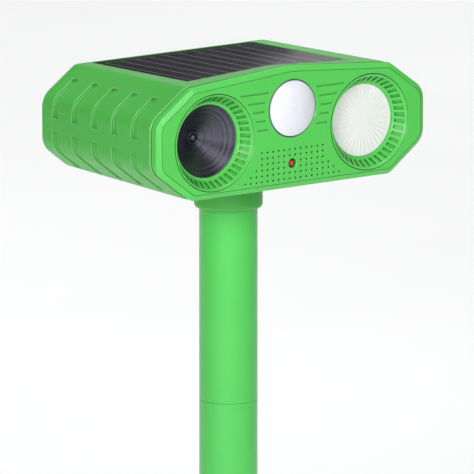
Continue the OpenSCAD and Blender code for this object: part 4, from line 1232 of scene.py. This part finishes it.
class REPELLER_OT_stake(Operator):
    """Models the tube and the ground spike"""
    bl_idname = "repeller.stake"
    bl_label = "Stake"

    def execute(self, context):
        stake = sizes("stake")
        r, bore, seam = stake.radius, stake.radius - TUBE_WALL, stake.seam
        journal = r - JOURNAL_STEP
        tube = turned_solid(rounded([(bore, seam), (r, seam, 0.35), (r, JOURNAL_FOOT),
                                     (journal, JOURNAL_FOOT), (journal, TUBE_TOP, 0.6),
                                     (bore, TUBE_TOP)], True, 3), steps=128, axis="Z", closed=True)
        make_piece(tube, "pole_tube", "stake_green", "stake", "stake_tube", ROW_FRAME, 40)
        spigot = bore - 0.1
        plug = turned_solid(rounded([(0, -8), (r, -8, 1.0), (r, seam, 0.35), (spigot, seam),
                                     (spigot, seam + 20, 0.8), (0, seam + 20)], steps=4),
                            steps=128, axis="Z")
        plug = combine(plug, [spike_fin(stake, 0), spike_fin(stake, pi / 2)], "UNION")
        clean(plug)
        make_piece(plug, "spike_body", "stake_green", "stake", "ground_spike", ROW_FRAME, 40)
        return {"FINISHED"}


# ---- What stays as the CAD made it ----

NODE_FINISHES = {
    "cover_gasket": "seal_rubber", "speaker_basket": "black_plastic", "piezo_disc": "brass",
    "damper_pad": "seal_rubber", "lamp_reflector": "reflector_chrome",
    "lamp_board": "lamp_board_aluminium", "lamp_leds": "emitter_yellow",
    "pir_retainer": "black_plastic", "pir_sensor": "can_steel", "pir_window": "window_black",
    "indicator_led": "indicator_red", "alarm_buzzer": "black_plastic",
    "sensor_board": "board_green", "board_chips": "black_plastic",
    "board_capacitors": "capacitor_aluminium", "driver_coil": "brass",
    "board_screws": "screw_steel", "solar_backing": "panel_backing",
    "battery_holder": "black_plastic", "battery_cells": "cell_blue",
    "battery_contacts": "can_steel", "holder_screws": "screw_steel",
    "control_board": "board_green", "control_screws": "screw_steel",
    "mode_switch": "black_plastic", "sensitivity_pot": "pot_blue",
    "power_switch": "black_plastic", "usb_socket": "can_steel", "cover_screws": "screw_steel",
    "mode_dial": "knob_black", "sensitivity_dial": "knob_black",
    "power_button": "button_orange", "usb_cover": "seal_rubber", "panel_leads": "lead_red",
    "battery_leads": "lead_red", "board_leads": "lead_black", "speaker_leads": "lead_black",
    "lamp_leads": "lead_black",
}


class REPELLER_OT_dress(Operator):
    """Gives each piece that keeps its own shape its finish"""
    bl_idname = "repeller.dress"
    bl_label = "Dress Inner Pieces"

    def execute(self, context):
        for node, finish_name in NODE_FINISHES.items():
            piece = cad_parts[node]
            piece.data.materials.clear()
            piece.data.materials.append(finish(finish_name))
        return {"FINISHED"}


# ---- Stage ----

VIEW_AZIMUTH = radians(37)
VIEW_ELEVATION = radians(11.2)
LENS = 700.0
SENSOR_WIDTH = 36.0
FRAME_WIDTH = 0.2046
# Point that the view is centred on: across and down from the middle of the head's lip
VIEW_SHIFT = (-23.3 * MM, -45.7 * MM)
# The view's own directions: to its right, back towards the viewer, and up
RIGHT = Vector((cos(VIEW_AZIMUTH), -sin(VIEW_AZIMUTH), 0))
BACK = Vector((-sin(VIEW_AZIMUTH) * cos(VIEW_ELEVATION),
               -cos(VIEW_AZIMUTH) * cos(VIEW_ELEVATION), sin(VIEW_ELEVATION)))
UP = BACK.cross(RIGHT)

# Middle of the sheen's slanting edge on the panel, from the middle of the head's lip
SHEEN_EDGE = Vector((0.006, 0.051, 0.0236))
SHEEN_SLOPE = radians(35)
SHEEN_DISTANCE = 0.9

# Softboxes round the head: name, azimuth, elevation, distance, size, power
SOFTBOXES = (
    ("key_softbox", 58, 15, 1.3, (0.5, 0.4), 10.5),
    ("front_softbox", 2, 27, 1.4, (0.7, 0.5), 7.5),
    ("low_fill", 30, -2, 1.2, (0.5, 0.1), 1.0),
    ("right_fill", -60, 25, 1.6, (0.8, 0.8), 0.6),
)


def area_lamp(name, size, power):
    """A softbox that still has to be placed and aimed; it shines down its own -Z."""
    lamp = bpy.data.lights.new(name, "AREA")
    lamp.shape = "RECTANGLE"
    lamp.size, lamp.size_y = size
    lamp.energy = power
    holder = bpy.data.objects.new(name, lamp)
    bpy.context.scene.collection.objects.link(holder)
    return holder


def soft_light(name, azimuth, elevation, distance, size, power):
    """A softbox aimed at the head; azimuth 0 is straight ahead of it, and 90 is on its left."""
    away = Vector((-sin(radians(azimuth)) * cos(radians(elevation)),
                   -cos(radians(azimuth)) * cos(radians(elevation)), sin(radians(elevation))))
    holder = area_lamp(name, size, power)
    holder.location = HEAD + away * distance
    holder.rotation_euler = away.to_track_quat("Z", "Y").to_euler()
    return holder


def panel_sheen():
    """A softbox where the view is mirrored by the panel, with one edge slanting over it."""
    panel_up = top_frame(sizes("head")).to_3x3() @ Vector((0, 0, 1))
    away = (-BACK).reflect(panel_up)
    edge = (RIGHT * cos(SHEEN_SLOPE) + UP * sin(SHEEN_SLOPE)).reflect(panel_up)
    over = away.cross(edge)
    width, depth = 0.5, 0.2
    sheen = area_lamp("panel_sheen", (width, depth), 0.4)
    sheen.matrix_world = Matrix((edge, over, away)).transposed().to_4x4()
    sheen.location = HEAD + SHEEN_EDGE + away * SHEEN_DISTANCE - over * depth / 2


def lay_floor(scene):
    """A wide pale floor under the tip of the spike."""
    ground = bmesh.new()
    bmesh.ops.create_grid(ground, x_segments=8, y_segments=8, size=4.0)
    bmesh.ops.translate(ground, vec=(0, 0, cad_box[0].z), verts=ground.verts)
    mesh = bpy.data.meshes.new("floor")
    ground.to_mesh(mesh)
    ground.free()
    mesh.materials.append(finish("floor_pale"))
    floor = bpy.data.objects.new("floor", mesh)
    scene.collection.objects.link(floor)


def place_camera(scene):
    """A long lens at the view's angle, centred on the head and tube."""
    aim = HEAD + VIEW_SHIFT[0] * RIGHT + VIEW_SHIFT[1] * UP
    camera = bpy.data.objects.new("camera", bpy.data.cameras.new("camera"))
    scene.collection.objects.link(camera)
    camera.data.lens = LENS
    camera.data.sensor_width = SENSOR_WIDTH
    camera.data.clip_end = 100
    camera.location = aim + BACK * FRAME_WIDTH * LENS / SENSOR_WIDTH
    camera.rotation_euler = BACK.to_track_quat("Z", "Y").to_euler()
    scene.camera = camera


class REPELLER_OT_stage(Operator):
    """Lays the pale floor, hangs the soft lights and sets up the camera"""
    bl_idname = "repeller.stage"
    bl_label = "Stage"

    def execute(self, context):
        scene = context.scene
        scene.view_settings.view_transform = "Standard"
        lay_floor(scene)
        world = bpy.data.worlds.new("studio")
        world.use_nodes = True
        feed(world.node_tree, world.node_tree.nodes["Background"],
             {"Color": (0.95, 0.98, 1.0, 1), "Strength": 0.12})
        scene.world = world
        for box in SOFTBOXES:
            soft_light(*box)
        wash = soft_light("floor_wash", 217, 35, 2.3, (3.6, 2.2), 25)
        wash.data.spread = radians(70)
        wash.rotation_euler = (0, 0, VIEW_AZIMUTH)
        panel_sheen()
        place_camera(scene)
        return {"FINISHED"}


# ---- Add-on ----

class REPELLER_PT_panel(Panel):
    """Lists the repeller's sizes, colours and building steps"""
    bl_idname = "REPELLER_PT_panel"
    bl_label = "Pest Repeller"
    bl_space_type = "VIEW_3D"
    bl_region_type = "UI"
    bl_category = "Repeller"

    def draw(self, context):
        settings = context.scene.repeller
        for group in (settings.head, settings.grooves, settings.rings, settings.panel,
                      settings.stake, settings.finishes):
            box = self.layout.box()
            for name in group.__annotations__:
                box.prop(group, name)
        for operator in OPERATORS:
            self.layout.operator(operator.bl_idname)


OPERATORS = (REPELLER_OT_stage, REPELLER_OT_housing, REPELLER_OT_front_cover, REPELLER_OT_rings,
             REPELLER_OT_speaker, REPELLER_OT_lamp, REPELLER_OT_sensor_dome,
             REPELLER_OT_solar_panel, REPELLER_OT_stake, REPELLER_OT_dress)
CLASSES = (HeadShape, GrooveShape, RingShape, PanelShape, StakeShape, Finishes,
           RepellerSettings) + OPERATORS + (REPELLER_PT_panel,)


def register():
    """Adds the classes and the settings."""
    for item in CLASSES:
        bpy.utils.register_class(item)
    bpy.types.Scene.repeller = PointerProperty(type=RepellerSettings)


def unregister():
    """Takes the classes and the settings away again."""
    del bpy.types.Scene.repeller
    for item in reversed(CLASSES):
        bpy.utils.unregister_class(item)


def main():
    """Runs every building step."""
    register()
    for operator in OPERATORS:
        group, name = operator.bl_idname.split(".")
        getattr(getattr(bpy.ops, group), name)()


if __name__ == "__main__":
    main()
